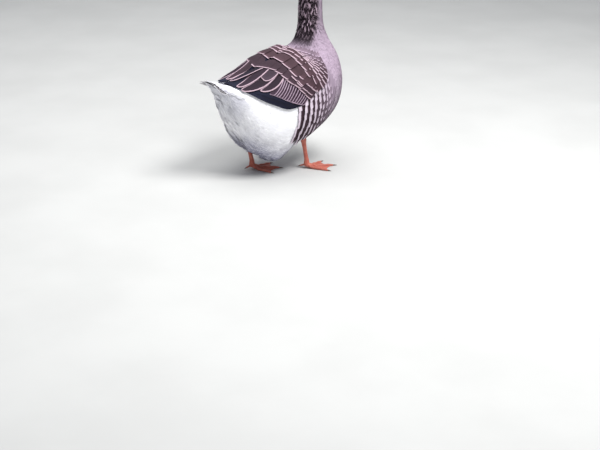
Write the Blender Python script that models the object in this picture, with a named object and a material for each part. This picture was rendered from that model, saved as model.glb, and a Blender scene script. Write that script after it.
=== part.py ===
"""A Toulouse goose at life size, in mid stride with its head up.

Metres, +Z up. The goose faces +X and its left side is +Y. The origin is on the floor, under the
middle of its bounding box. The body is one lofted form from the tail's root to the bill's base, parted
into tail, torso, neck and head. A place on that form is a pair: how far along it (0 near the tail, 1 at
the top of the neck) and the angle round it in degrees (0 on the left side, 90 on the back, 180 on the
right side).
"""

import math

import bmesh
import bpy
from mathutils import Matrix, Vector

GAP = 0.0003
FLAT_ANGLE = math.radians(1.5)  # faces closer than this to one plane are merged after a Boolean
SHIFT_X = 0.0044  # moves everything along X, so that the origin is under the middle of the bounding box

# Stations of the body: place along it, centre x and z, lean of the section's upright towards the tail in
# degrees, half width, reach up to the back, reach down to the belly.
BODY = [
    (-0.10, -0.266, 0.338, -28, 0.036, 0.005, 0.008),
    (-0.04, -0.246, 0.328, -28, 0.048, 0.011, 0.022),
    (0.04, -0.218, 0.312, -28, 0.062, 0.027, 0.048),
    (0.16, -0.176, 0.291, -20, 0.094, 0.062, 0.104),
    (0.28, -0.120, 0.263, -10, 0.122, 0.112, 0.175),
    (0.40, -0.057, 0.243, 0, 0.139, 0.154, 0.208),
    (0.52, 0.010, 0.248, 6, 0.144, 0.164, 0.163),
    (0.62, 0.065, 0.274, 16, 0.139, 0.150, 0.164),
    (0.70, 0.104, 0.310, 34, 0.126, 0.128, 0.165),
    (0.77, 0.124, 0.350, 54, 0.101, 0.102, 0.147),
    (0.83, 0.130, 0.397, 72, 0.069, 0.074, 0.110),
    (0.88, 0.129, 0.442, 84, 0.048, 0.052, 0.066),
    (0.93, 0.128, 0.500, 89, 0.039, 0.041, 0.045),
    (1.00, 0.130, 0.600, 89, 0.036, 0.040, 0.041),
    (1.06, 0.133, 0.672, 86, 0.034, 0.038, 0.041),
    (1.12, 0.139, 0.712, 72, 0.0325, 0.041, 0.046),
    (1.18, 0.150, 0.741, 48, 0.0315, 0.044, 0.048),
    (1.24, 0.168, 0.756, 22, 0.0305, 0.040, 0.044),
    (1.30, 0.190, 0.757, 4, 0.0285, 0.035, 0.039),
    (1.36, 0.210, 0.751, -10, 0.0235, 0.027, 0.030),
    (1.40, 0.222, 0.747, -16, 0.018, 0.020, 0.022),
]
TAIL_CUT, NECK_CUT, HEAD_CUT = 0.04, 0.86, 1.03
TAIL_END, HEAD_END = -0.10, 1.40
BODY_SIDES = 28
TORSO_ROWS, NECK_ROWS, HEAD_ROWS, TAIL_ROWS = 24, 6, 13, 4
ROUNDNESS = 0.92  # 1 is an ellipse; less is squarer

# The two lobes of the paunch, parted by a groove, and the furrow of the back between the wings: share of
# the section's reach, width, place along the body, reach to either side of it.
GROOVE_DEEP, GROOVE_WIDE, GROOVE_AT, GROOVE_LONG = 0.115, 0.032, 0.30, 0.17
FURROW_DEEP, FURROW_WIDE, FURROW_AT, FURROW_LONG = 0.100, 0.034, 0.42, 0.34

# The dewlap, a lobe of skin under the throat: middle, half length, width and depth, slope in degrees.
DEWLAP_AT, DEWLAP_SIZE, DEWLAP_SLOPE = (0.184, 0.0, 0.704), (0.044, 0.0125, 0.018), 52.0

# Folded wing's core: place along the body, angle of its edge at the back and of its lower edge, thickness.
WING = [
    (0.02, 104, 140, 0.003),
    (0.08, 92, 160, 0.004),
    (0.15, 90.8, 170, 0.005),
    (0.23, 90.6, 173, 0.0055),
    (0.43, 90.6, 172, 0.006),
    (0.53, 90.6, 168, 0.006),
    (0.61, 90.8, 164, 0.006),
    (0.69, 93, 160, 0.004),
    (0.75, 100, 152, 0.002),
]
WING_ROWS, WING_COLUMNS, WING_SUNK = 9, 5, 0.004

# Tracts of the folded right wing, from the deepest to the one on top: first and last feather's root and
# tip as places on the body, number of feathers, width, lift at root, middle and tip.
TRACTS = {
    "primaries": (
        ((0.16, 116), (-0.03, 106)),
        ((0.24, 136), (0.04, 148)),
        3, 0.022, (0.0030, 0.0065, 0.0060),
    ),
    "secondaries": (
        ((0.28, 159), (0.11, 165)),
        ((0.52, 166), (0.42, 176)),
        5, 0.030, (0.0020, 0.0050, 0.0045),
    ),
    "greater_coverts": (
        ((0.36, 138), (0.235, 158)),
        ((0.54, 163), (0.46, 172)),
        8, 0.017, (0.0030, 0.0080, 0.0070),
    ),
    "tertials": (
        ((0.42, 101), (0.03, 101)),
        ((0.40, 142), (0.12, 157)),
        5, 0.032, (0.0040, 0.0085, 0.0085),
    ),
    "scapulars_rear": (
        ((0.46, 99), (0.30, 99)),
        ((0.47, 134), (0.34, 136)),
        4, 0.040, (0.0040, 0.0105, 0.0120),
    ),
    "scapulars_long": (
        ((0.56, 99), (0.42, 99)),
        ((0.58, 152), (0.46, 154)),
        5, 0.041, (0.0040, 0.0105, 0.0125),
    ),
    "scapulars_short": (
        ((0.64, 99), (0.53, 99)),
        ((0.64, 160), (0.54, 162)),
        6, 0.036, (0.0040, 0.0100, 0.0120),
    ),
    "lesser_coverts_low": (
        ((0.70, 99), (0.60, 99)),
        ((0.70, 161), (0.61, 163)),
        7, 0.031, (0.0030, 0.0090, 0.0105),
    ),
    "lesser_coverts_high": (
        ((0.755, 104), (0.67, 102)),
        ((0.75, 156), (0.67, 160)),
        6, 0.030, (0.0010, 0.0060, 0.0085),
    ),
}
VANE_THICK, VANE_ROLL, VANE_CAMBER = 0.0014, 6.0, 0.06
# Shares of a vane's length, and of its width there.
VANE_OUTLINE = [(0.0, 0.62), (0.42, 0.98), (0.80, 0.90), (1.0, 0.32)]
MIDLINE_GAP = 0.0004

# Tail fan: its root on the midline, rise in degrees, length, half spread in degrees, half width at its
# root, droop of its sides.
FAN_ROOT, FAN_RISE, FAN_LONG, FAN_SPREAD = (-0.200, 0.0, 0.304), 28.0, 0.105, 20.0
FAN_HALF_ROOT, FAN_DROOP = 0.034, 0.006
# Tail tracts: number of feathers, share of the fan's spread, first and last share of its length, width,
# height over its mid surface at root, middle and tip. Each feather lies a step lower than its neighbour
# nearer the midline.
TAIL_TRACTS = {
    "rectrices": (11, 1.0, 0.10, 1.0, 0.022, (0.0030, 0.0030, 0.0030)),
    "upper_coverts": (5, 0.75, 0.02, 0.50, 0.032, (0.0060, 0.0095, 0.0075)),
    "under_coverts": (5, 0.80, 0.05, 0.74, 0.034, (-0.0080, -0.0060, -0.0015)),
}
TAIL_FEATHER_THICK, TAIL_STEP = 0.0012, 0.0085
TAIL_INTO = 0.003  # how far the tail's root runs on into the torso, before the torso's shape is cut from it

EYE_PLACE, EYE_RADIUS, EYE_SHOWS = (1.285, 18.0), 0.0080, 0.0024
LID_RADIUS, LID_THICK = 0.0067, 0.0014

BILL_LONG, BILL_DROOP = 0.060, 0.0035
# Upper bill's stations: share of its length, half width, height over the mouth line. Lower bill's: the
# same, downwards.
BILL_UPPER = [
    (0.0, 0.0172, 0.0236),
    (0.12, 0.0164, 0.0222),
    (0.3, 0.0150, 0.0186),
    (0.5, 0.0138, 0.0148),
    (0.7, 0.0130, 0.0118),
    (0.88, 0.0116, 0.0096),
    (0.97, 0.0086, 0.0074),
    (1.0, 0.0056, 0.0048),
]
BILL_LOWER = [
    (0.0, 0.0158, 0.0150),
    (0.3, 0.0136, 0.0112),
    (0.65, 0.0114, 0.0080),
    (0.9, 0.0086, 0.0058),
    (1.0, 0.0052, 0.0036),
]
LOWER_BILL_SHARE = 0.93  # of the upper bill's length
NOSTRIL_AT, NOSTRIL_SIZE = 0.46, (0.0052, 0.0030, 0.0020)
NAIL_SIZE = (0.0072, 0.0056, 0.0044)
MOUTH_CORNER_SIZE = (0.013, 0.0016, 0.0006)

# Each leg: the foot's joint and the hock (x, y, z), and the foot's turn in degrees.
LEGS = {
    "right": dict(joint=(0.062, -0.072), hock=(0.046, -0.074, 0.110), turn=-22.0),
    "left": dict(joint=(-0.095, 0.034), hock=(-0.106, 0.045, 0.104), turn=-33.0),
}
ANKLE_Z = 0.030
HIP_RISE = 0.035
LEG_SIDES = 12
# Toes: turn from the foot's middle line in degrees (outwards), length to the claw, radius.
TOES = {
    "inner": dict(turn=-36.0, long=0.080, radius=0.0058),
    "middle": dict(turn=0.0, long=0.095, radius=0.0064),
    "outer": dict(turn=36.0, long=0.080, radius=0.0058),
}
# A toe's pads and joints: share of its length, share of its radius there, how far it rises off the floor.
TOE_PROFILE = [
    (0.0, 1.35, 0.0085),
    (0.2, 1.12, 0.0037),
    (0.36, 0.94, 0.0),
    (0.5, 1.0, 0.0),
    (0.66, 0.8, 0.0),
    (0.8, 0.86, 0.0),
    (0.93, 0.66, 0.0),
    (1.0, 0.56, 0.0),
]
TOE_SUNK = 0.72  # height of a toe's middle in radii, so that its underside is cut flat by the floor
HIND_TOE = dict(turn=-152.0, long=0.024, radius=0.0042)
CLAW_LONG = {"inner": 0.012, "middle": 0.014, "outer": 0.012, "hind": 0.008}
TOE_SIDES = 8
WEB_THICK, WEB_BOW, WEB_SHARE = 0.0024, 0.10, 0.96


def clear_scene():
    for old in list(bpy.data.objects):
        bpy.data.objects.remove(old, do_unlink=True)


def material(name, colour, roughness):
    made = bpy.data.materials.new(name)
    made.use_nodes = True
    shader = made.node_tree.nodes["Principled BSDF"]
    shader.inputs["Base Color"].default_value = (*colour, 1.0)
    shader.inputs["Roughness"].default_value = roughness
    shader.inputs["Metallic"].default_value = 0.0
    return made


def ease(table, t):
    """The table's columns at t, on cubics that keep between their stations."""
    at = [row[0] for row in table]
    t = min(max(t, at[0]), at[-1])
    i = max(k for k in range(len(at) - 1) if at[k] <= t)
    out = []
    for c in range(1, len(table[0])):
        slopes = [(table[k + 1][c] - table[k][c]) / (at[k + 1] - at[k]) for k in range(len(at) - 1)]

        def bend(k):
            if k == 0 or k == len(at) - 1:
                return slopes[0] if k == 0 else slopes[-1]
            before, after = slopes[k - 1], slopes[k]
            if before * after <= 0:
                return 0.0
            near, far = at[k] - at[k - 1], at[k + 1] - at[k]
            a, b = 2 * far + near, far + 2 * near
            return (a + b) / (a / before + b / after)

        span = at[i + 1] - at[i]
        u = (t - at[i]) / span
        out.append(
            (1 + 2 * u) * (1 - u) ** 2 * table[i][c]
            + u * (1 - u) ** 2 * span * bend(i)
            + u * u * (3 - 2 * u) * table[i + 1][c]
            + u * u * (u - 1) * span * bend(i + 1)
        )
    return out


def hump(t, middle, reach):
    """1 at the middle, easing to 0 at the reach to either side."""
    u = abs(t - middle) / reach
    return (1 - u * u) ** 2 if u < 1 else 0.0


def signed_power(value, power):
    return math.copysign(abs(value) ** power, value)


def body_point(t, angle, lift=0.0):
    """The body's surface at t along it and this angle round it, moved outwards by lift."""
    if lift:
        return body_point(t, angle) + body_normal(t, angle) * lift
    x, z, lean, wide, up, down = ease(BODY, t)
    lean = math.radians(lean)
    upright = Vector((-math.sin(lean), 0, math.cos(lean)))
    turn = math.radians(angle)
    across = wide * signed_power(math.cos(turn), ROUNDNESS)
    raised = (up if math.sin(turn) > 0 else down) * signed_power(math.sin(turn), ROUNDNESS)
    if raised > 0:
        raised *= 1 - FURROW_DEEP * hump(t, FURROW_AT, FURROW_LONG) * math.exp(-((across / FURROW_WIDE) ** 2))
    else:
        groove = GROOVE_DEEP * hump(t, GROOVE_AT, GROOVE_LONG) * math.exp(-((across / GROOVE_WIDE) ** 2))
        raised *= 1 - groove
    return Vector((x + SHIFT_X, across, z)) + upright * raised


def body_normal(t, angle):
    step_t, step_a = 0.002, 0.5
    along = body_point(t + step_t, angle) - body_point(t - step_t, angle)
    around = body_point(t, angle + step_a) - body_point(t, angle - step_a)
    return around.cross(along).normalized()


def link(name, bm, finish, smooth=True):
    """The bmesh as a named object with this material, its faces pointing out."""
    bmesh.ops.recalc_face_normals(bm, faces=bm.faces)
    mesh = bpy.data.meshes.new(name)
    bm.to_mesh(mesh)
    bm.free()
    if smooth:
        mesh.shade_smooth()
        mesh.set_sharp_from_angle(angle=math.radians(40))
    mesh.materials.append(finish)
    made = bpy.data.objects.new(name, mesh)
    bpy.context.scene.collection.objects.link(made)
    return made


def loft(bm, rings):
    """A closed tube through rings of like count, capped flat at both ends."""
    loops = [[bm.verts.new(p) for p in ring] for ring in rings]
    count = len(loops[0])
    for near, far in zip(loops, loops[1:]):
        for k in range(count):
            nxt = (k + 1) % count
            bm.faces.new((near[k], near[nxt], far[nxt], far[k]))
    bm.faces.new(loops[0])
    bm.faces.new(loops[-1])


def body_rings(start, end, rows, lift=0.0):
    """Rings of the body's surface from start to end, lifted alike."""
    rings = []
    for r in range(rows + 1):
        t = start + (end - start) * r / rows
        rings.append([body_point(t, 360 * k / BODY_SIDES, lift) for k in range(BODY_SIDES)])
    return rings


def section_onward(t):
    """The direction square to the body's section at t, towards the head."""
    lean = math.radians(ease(BODY, t)[2])
    return Vector((math.cos(lean), 0, math.sin(lean)))


def body_part(name, start, end, rows, finish, gap_start=0.0, gap_end=0.0, lift=0.0):
    """The stretch of the body from start to end as a solid, its end faces drawn back by these gaps."""
    rings = body_rings(start, end, rows, lift)
    rings[0] = [point + section_onward(start) * gap_start for point in rings[0]]
    rings[-1] = [point - section_onward(end) * gap_end for point in rings[-1]]
    bm = bmesh.new()
    loft(bm, rings)
    bmesh.ops.triangulate(bm, faces=bm.faces)
    return link(name, bm, finish)


def swollen_body(finish):
    """The torso and tail's root one gap larger all round, to clear what lies on them."""
    bm = bmesh.new()
    rear = body_rings(TAIL_END, TAIL_CUT, TAIL_ROWS, GAP)
    loft(bm, rear[:-1] + body_rings(TAIL_CUT, NECK_CUT, TORSO_ROWS, GAP))
    bmesh.ops.triangulate(bm, faces=bm.faces)
    return link("swollen_body", bm, finish)


def join(base, pieces, solver="EXACT"):
    """Fuses the pieces into base by one Boolean union on their collection, and removes them."""
    group = bpy.data.collections.new("pieces")
    bpy.context.scene.collection.children.link(group)
    for piece in pieces:
        group.objects.link(piece)
    boolean(base, "UNION", group, solver)
    for piece in pieces:
        bpy.data.objects.remove(piece, do_unlink=True)
    bpy.data.collections.remove(group)
    keep_largest(base)
    return base


def cut(base, cutter, solver="EXACT"):
    """Takes the cutter's shape out of base and removes the cutter."""
    boolean(base, "DIFFERENCE", cutter, solver)
    bpy.data.objects.remove(cutter, do_unlink=True)
    keep_largest(base)
    return base


def boolean(base, operation, operand, solver):
    """Applies one Boolean on base with an object or a collection."""
    modifier = base.modifiers.new(operation.lower(), "BOOLEAN")
    modifier.operation = operation
    modifier.solver = solver
    if isinstance(operand, bpy.types.Collection):
        modifier.operand_type = "COLLECTION"
        modifier.collection = operand
    else:
        modifier.object = operand
    graph = bpy.context.evaluated_depsgraph_get()
    result = bpy.data.meshes.new_from_object(base.evaluated_get(graph))
    base.modifiers.clear()
    old = base.data
    base.data = result
    bpy.data.meshes.remove(old)


def shells(bm):
    """The closed surfaces of the bmesh as lists of faces, the largest first."""
    seen, found = set(), []
    for start in bm.faces:
        if start in seen:
            continue
        shell, queue = [], [start]
        seen.add(start)
        while queue:
            face = queue.pop()
            shell.append(face)
            for edge in face.edges:
                for other in edge.link_faces:
                    if other not in seen:
                        seen.add(other)
                        queue.append(other)
        found.append(shell)
    return sorted(found, key=lambda shell: -sum(face.calc_area() for face in shell))


def keep_largest(base):
    """Leaves only the largest closed surface: a sealed hollow is filled and a loose scrap dropped."""
    bm = bmesh.new()
    bm.from_mesh(base.data)
    bmesh.ops.remove_doubles(bm, verts=bm.verts, dist=1e-6)
    loose = [face for shell in shells(bm)[1:] for face in shell]
    bmesh.ops.delete(bm, geom=loose, context="FACES")
    bmesh.ops.delete(bm, geom=[v for v in bm.verts if not v.link_faces], context="VERTS")
    bmesh.ops.dissolve_limit(bm, angle_limit=FLAT_ANGLE, verts=bm.verts, edges=bm.edges)
    bmesh.ops.triangulate(bm, faces=bm.faces)
    bm.to_mesh(base.data)
    bm.free()


def ellipsoid(name, centre, radii, finish, turn=None, segments=16, rings=10):
    bm = bmesh.new()
    bmesh.ops.create_uvsphere(bm, u_segments=segments, v_segments=rings, radius=1.0)
    bmesh.ops.scale(bm, vec=radii, verts=bm.verts)
    if turn is not None:
        bmesh.ops.rotate(bm, cent=(0, 0, 0), matrix=turn, verts=bm.verts)
    bmesh.ops.translate(bm, vec=centre, verts=bm.verts)
    return link(name, bm, finish)


def other_side(angle):
    """The same angle on the body's left side."""
    return 180 - angle


def plate(name, finish, rows, columns, place):
    """A closed plate from place(u, v, outer), whose outer and inner faces are split into triangles alike."""
    bm = bmesh.new()
    sheets = []
    for outer in (True, False):
        grid = []
        for i in range(rows + 1):
            grid.append([bm.verts.new(place(i / rows, j / columns, outer)) for j in range(columns + 1)])
        sheets.append(grid)
        for i in range(rows):
            for j in range(columns):
                a, b = grid[i][j], grid[i + 1][j]
                c, d = grid[i + 1][j + 1], grid[i][j + 1]
                bm.faces.new((a, b, c))
                bm.faces.new((a, c, d))
    top, under = sheets
    rim = [(0, j) for j in range(columns)] + [(i, columns) for i in range(rows)]
    rim += [(rows, j) for j in range(columns, 0, -1)] + [(i, 0) for i in range(rows, 0, -1)]
    for (i, j), (k, m) in zip(rim, rim[1:] + rim[:1]):
        bm.faces.new((top[i][j], top[k][m], under[k][m]))
        bm.faces.new((top[i][j], under[k][m], under[i][j]))
    return link(name, bm, finish)


def blade(centres, ups, widths, thick, roll, finish):
    """A feather's vane through these centres: a closed blade, thin at its edges, both faces split alike."""
    bm = bmesh.new()
    sections = []
    for i, here in enumerate(centres):
        before, after = centres[max(i - 1, 0)], centres[min(i + 1, len(centres) - 1)]
        onward = (after - before).normalized()
        side = onward.cross(ups[i]).normalized()
        up = side.cross(onward)
        tilt = math.radians(roll)
        side, up = side * math.cos(tilt) + up * math.sin(tilt), up * math.cos(tilt) - side * math.sin(tilt)
        half = widths[i] / 2
        middle = thick / 2 * (1 - 0.3 * i / (len(centres) - 1))
        edge = middle * 0.55
        droop = VANE_CAMBER * half
        offsets = ((-half, edge - droop), (0, middle), (half, edge - droop))
        offsets += ((half, -edge - droop), (0, -middle), (-half, -edge - droop))
        sections.append([bm.verts.new(here + side * across + up * high) for across, high in offsets])
    for near, far in zip(sections, sections[1:]):
        for a, b in ((0, 1), (1, 2), (5, 4), (4, 3)):
            bm.faces.new((near[a], near[b], far[b]))
            bm.faces.new((near[a], far[b], far[a]))
        for a, b in ((2, 3), (5, 0)):
            bm.faces.new((near[a], near[b], far[b]))
            bm.faces.new((near[a], far[b], far[a]))
    for end in (sections[0], sections[-1]):
        for a, b, c, d in ((0, 1, 4, 5), (1, 2, 3, 4)):
            bm.faces.new((end[a], end[b], end[c]))
            bm.faces.new((end[a], end[c], end[d]))
    return link("vane", bm, finish)


def curve(ends, share):
    """Between three values, eased as a curve that leans towards the middle one."""
    return ends[0] * (1 - share) ** 2 + ends[1] * 2 * share * (1 - share) + ends[2] * share * share


def mix(first, last, share):
    return tuple(a + (b - a) * share for a, b in zip(first, last))


def wing_feather(side, root, tip, width, lifts, finish):
    """One vane laid on the body from root to tip."""
    centres, ups = [], []
    for share, _ in VANE_OUTLINE:
        t, angle = mix(root, tip, share)
        if side == "left":
            angle = other_side(angle)
        centres.append(body_point(t, angle, curve(lifts, share)))
        ups.append(body_normal(t, angle))
    roll = VANE_ROLL if side == "right" else -VANE_ROLL
    return blade(centres, ups, [width * wide for _, wide in VANE_OUTLINE], VANE_THICK, roll, finish)


def wing(side, finish):
    """The folded wing, laid on the torso from the shoulder to its tip over the tail's root."""
    rear, front = WING[0][0], WING[-1][0]

    def place(u, v, outer):
        t = rear + (front - rear) * u
        upper, lower, thick = ease(WING, t)
        angle = upper + (lower - upper) * v
        if side == "left":
            angle = other_side(angle)
        return body_point(t, angle, thick if outer else -WING_SUNK)

    feathers = []
    for (first_root, first_tip), (last_root, last_tip), count, width, lifts in TRACTS.values():
        for i in range(count):
            share = i / (count - 1)
            root, tip = mix(first_root, last_root, share), mix(first_tip, last_tip, share)
            feathers.append(wing_feather(side, root, tip, width, lifts, finish))
    made = join(plate("wing_" + side, finish, WING_ROWS, WING_COLUMNS, place), feathers)
    cut(made, far_half(side, finish))
    return cut(made, swollen_body(finish))


def far_half(side, finish):
    """A block that fills the other side of the midline, to keep a wing on its own side."""
    bm = bmesh.new()
    bmesh.ops.create_cube(bm, size=1.0)
    middle = 0.5 - MIDLINE_GAP if side == "right" else MIDLINE_GAP - 0.5
    bmesh.ops.translate(bm, vec=(0, middle, 0.4), verts=bm.verts)
    bmesh.ops.triangulate(bm, faces=bm.faces)
    return link("far_half", bm, finish)


def fan_point(along, across, height):
    """A place on the tail's fan: share of its length and of its half spread, height over its middle."""
    turn = math.radians(FAN_SPREAD * across)
    rise = math.radians(FAN_RISE)
    forward = FAN_LONG * along * math.cos(turn)
    sideways = FAN_HALF_ROOT * across + FAN_LONG * along * math.sin(turn)
    low = height - FAN_DROOP * across * across * (0.4 + 0.6 * along)
    back = Vector((-math.cos(rise), 0, math.sin(rise)))
    up = Vector((math.sin(rise), 0, math.cos(rise)))
    return Vector(FAN_ROOT) + Vector((SHIFT_X, sideways, 0)) + back * forward + up * low


def tail(finish):
    """The tail's root with its fan of quills and the coverts over and under them."""
    root = body_part("tail", TAIL_END, TAIL_CUT, TAIL_ROWS, finish, gap_end=-TAIL_INTO)
    feathers = []
    for count, spread, start, end, width, heights in TAIL_TRACTS.values():
        for i in range(count):
            across = (2 * i / (count - 1) - 1) * spread
            short = end * (1 - 0.08 * across * across)
            centres, ups, widths = [], [], []
            for share, wide in VANE_OUTLINE:
                along = start + (short - start) * share
                high = curve(heights, share) - TAIL_STEP * abs(across)
                here = fan_point(along, across, high)
                outwards = fan_point(along, across + 0.01, high) - here
                backwards = fan_point(along + 0.01, across, high) - here
                centres.append(here)
                ups.append(backwards.cross(outwards))
                widths.append(width * wide)
            feathers.append(blade(centres, ups, widths, TAIL_FEATHER_THICK, 0.0, finish))
    made = join(root, feathers)
    torso = body_part("torso_space", TAIL_CUT, NECK_CUT, TORSO_ROWS, finish, gap_start=-GAP, lift=GAP)
    return cut(made, torso)


def eye_frame(side):
    """The eye's middle and the direction that it looks, from the head's own surface."""
    t, angle = EYE_PLACE
    if side == "right":
        angle = other_side(angle)
    outward = body_normal(t, angle)
    return body_point(t, angle) - outward * (EYE_RADIUS - EYE_SHOWS), outward


def eye(side, finish):
    centre, _ = eye_frame(side)
    return ellipsoid("eye_" + side, centre, (EYE_RADIUS,) * 3, finish, segments=12, rings=8)


def lid(side, finish):
    """The ring of lid round the eye, standing a little out of the head."""
    centre, outward = eye_frame(side)
    middle = centre + outward * math.sqrt(EYE_RADIUS**2 - LID_RADIUS**2 * 0.8)
    turn = outward.to_track_quat("Z", "Y").to_matrix()
    bm = bmesh.new()
    around, section = 14, 5
    loops = []
    for i in range(around):
        a = 2 * math.pi * i / around
        loop = []
        for k in range(section):
            b = 2 * math.pi * k / section
            radius = LID_RADIUS + LID_THICK * math.cos(b)
            flat = Vector((radius * math.cos(a), radius * math.sin(a), LID_THICK * math.sin(b)))
            loop.append(bm.verts.new(middle + turn @ flat))
        loops.append(loop)
    for near, far in zip(loops, loops[1:] + loops[:1]):
        for k in range(section):
            nxt = (k + 1) % section
            bm.faces.new((near[k], far[k], far[nxt], near[nxt]))
    bmesh.ops.triangulate(bm, faces=bm.faces)
    return link("lid", bm, finish)


def head(finish):
    """The head with its lids, eye sockets and the corners of its mouth."""
    made = body_part("head", HEAD_CUT, HEAD_END, HEAD_ROWS, finish, gap_start=GAP)
    slope = Matrix.Rotation(math.radians(-DEWLAP_SLOPE), 3, "Y")
    at = Vector(DEWLAP_AT) + Vector((SHIFT_X, 0, 0))
    dewlap = ellipsoid("dewlap", at, DEWLAP_SIZE, finish, slope, 14, 10)
    made = join(made, [dewlap, lid("left", finish), lid("right", finish)])
    for side in ("left", "right"):
        centre, _ = eye_frame(side)
        cut(made, ellipsoid("socket", centre, (EYE_RADIUS + GAP,) * 3, finish, segments=12, rings=8))
        cut(made, mouth_corner(side, finish))
    return made


def bill_frame():
    """Where the mouth line meets the head's end face, and the bill's directions onward and up."""
    x, z, lean, _, _, _ = ease(BODY, HEAD_END)
    onward = section_onward(HEAD_END)
    up = Vector((-math.sin(math.radians(lean)), 0, math.cos(math.radians(lean))))
    return Vector((x + SHIFT_X, 0, z)) + onward * GAP - up * 0.004, onward, up


def bill_half(name, stations, sense, finish):
    """Half of the bill, above the mouth line for a sense of 1 and below it for -1, drooping to its tip."""
    root, onward, up = bill_frame()
    long = BILL_LONG if sense > 0 else BILL_LONG * LOWER_BILL_SHARE
    rings = []
    for share, half, high in stations:
        bow = BILL_DROOP * share * share
        middle = root + onward * long * share + up * (sense * GAP - bow)
        ring = [middle - Vector((0, half, 0)), middle + Vector((0, half, 0))]
        for k in range(1, 8):
            turn = math.pi * k / 8
            side = half * math.copysign(abs(math.cos(turn)) ** 0.8, math.cos(turn))
            ring.append(middle + Vector((0, side, 0)) + up * sense * high * math.sin(turn) ** 0.9)
        rings.append(ring)
    bm = bmesh.new()
    loft(bm, rings)
    bmesh.ops.triangulate(bm, faces=bm.faces)
    return link(name, bm, finish)


def bill_upper(finish):
    """The upper half of the bill with its nail and nostrils."""
    made = bill_half("bill_upper", BILL_UPPER, 1, finish)
    root, onward, up = bill_frame()
    turn = Matrix((onward, Vector((0, 1, 0)), up)).transposed()
    at = root + onward * BILL_LONG * 0.945 + up * 0.0016
    nail = ellipsoid("nail", at, NAIL_SIZE, finish, turn, 12, 8)
    join(made, [nail])
    for sense in (1, -1):
        at = root + onward * BILL_LONG * NOSTRIL_AT + up * 0.0115 + Vector((0, sense * 0.0098, 0))
        cut(made, ellipsoid("nostril", at, NOSTRIL_SIZE, finish, turn, 10, 6))
    return made


def mouth_corner(side, finish):
    """A short groove that carries the line of the mouth back from the bill into the cheek."""
    root, onward, up = bill_frame()
    turn = Matrix((onward, Vector((0, 1, 0)), up)).transposed()
    sense = 1 if side == "left" else -1
    at = root - onward * 0.003 + Vector((0, sense * 0.0190, 0))
    return ellipsoid("corner", at, MOUTH_CORNER_SIZE, finish, turn, 10, 6)


def turned(direction):
    return Vector((math.cos(math.radians(direction)), math.sin(math.radians(direction)), 0))


def column(rings, sides):
    """Level rings (x, y, z, reach along X, reach along Y) as loops of points."""
    out = []
    for x, y, z, reach_x, reach_y in rings:
        turns = [2 * math.pi * k / sides for k in range(sides)]
        out.append([Vector((x + reach_x * math.cos(a), y + reach_y * math.sin(a), z)) for a in turns])
    return out


def leg(side, finish, swell=0.0):
    """The shank from the foot to the hock, and the end of the drumstick inside the body."""
    spec = LEGS[side]
    foot_x, foot_y = spec["joint"]
    hock_x, hock_y, hock_z = spec["hock"]
    foot_x += SHIFT_X
    hock_x += SHIFT_X

    def between(share, reach_x, reach_y):
        x = foot_x + (hock_x - foot_x) * share
        y = foot_y + (hock_y - foot_y) * share
        z = ANKLE_Z + (hock_z - ANKLE_Z) * share
        return (x, y, z, reach_x + swell, reach_y + swell)

    rings = [
        between(0.0, 0.0090, 0.0082),
        between(0.18, 0.0078, 0.0066),
        between(0.5, 0.0076, 0.0062),
        between(0.8, 0.0088, 0.0074),
        between(1.0, 0.0118, 0.0104),
        between(1.16, 0.0112, 0.0104),
        (hock_x + 0.005, hock_y * 0.96, hock_z + HIP_RISE + swell, 0.0128 + swell, 0.0118 + swell),
    ]
    bm = bmesh.new()
    loft(bm, column(rings, LEG_SIDES))
    bmesh.ops.triangulate(bm, faces=bm.faces)
    return link("leg_" + side, bm, finish)


def toe_rings(side, spec):
    """Rings of one toe from the ankle to its claw, flat where it bears on the floor."""
    foot_x, foot_y = LEGS[side]["joint"]
    outward = -1 if side == "right" else 1
    along = turned(LEGS[side]["turn"] + outward * spec["turn"])
    across = Vector((-along.y, along.x, 0))
    rings = []
    for share, swell, rise in TOE_PROFILE:
        radius = spec["radius"] * swell
        high = radius * TOE_SUNK + rise
        middle = Vector((foot_x + SHIFT_X, foot_y, high)) + along * spec["long"] * share
        ring = []
        for k in range(TOE_SIDES):
            turn = 2 * math.pi * (k + 0.5) / TOE_SIDES
            point = middle + across * radius * math.cos(turn) + Vector((0, 0, radius * math.sin(turn)))
            point.z = max(point.z, 0.0)
            ring.append(point)
        rings.append(ring)
    return rings, along


def toe(side, spec, finish):
    rings, _ = toe_rings(side, spec)
    bm = bmesh.new()
    loft(bm, rings)
    bmesh.ops.triangulate(bm, faces=bm.faces)
    return link("toe", bm, finish)


def web(side, near, far, finish):
    """The skin between two toes, its front edge bowed in."""
    foot = Vector((LEGS[side]["joint"][0] + SHIFT_X, LEGS[side]["joint"][1], 0))
    outward = -1 if side == "right" else 1
    ends = []
    for spec in (near, far):
        ends.append(turned(LEGS[side]["turn"] + outward * spec["turn"]) * spec["long"] * WEB_SHARE)

    def place(u, v, outer):
        bow = 1 - WEB_BOW * 4 * v * (1 - v)
        reach = 0.12 + (bow - 0.12) * u
        flat = foot + ends[0] * (1 - v) * reach + ends[1] * v * reach
        thick = WEB_THICK * (1 - 0.45 * u)
        low = 0.0009 + 0.003 * (1 - u) ** 3
        return Vector((flat.x, flat.y, low + (thick if outer else 0.0)))

    return plate("web", finish, 5, 5, place)


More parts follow.
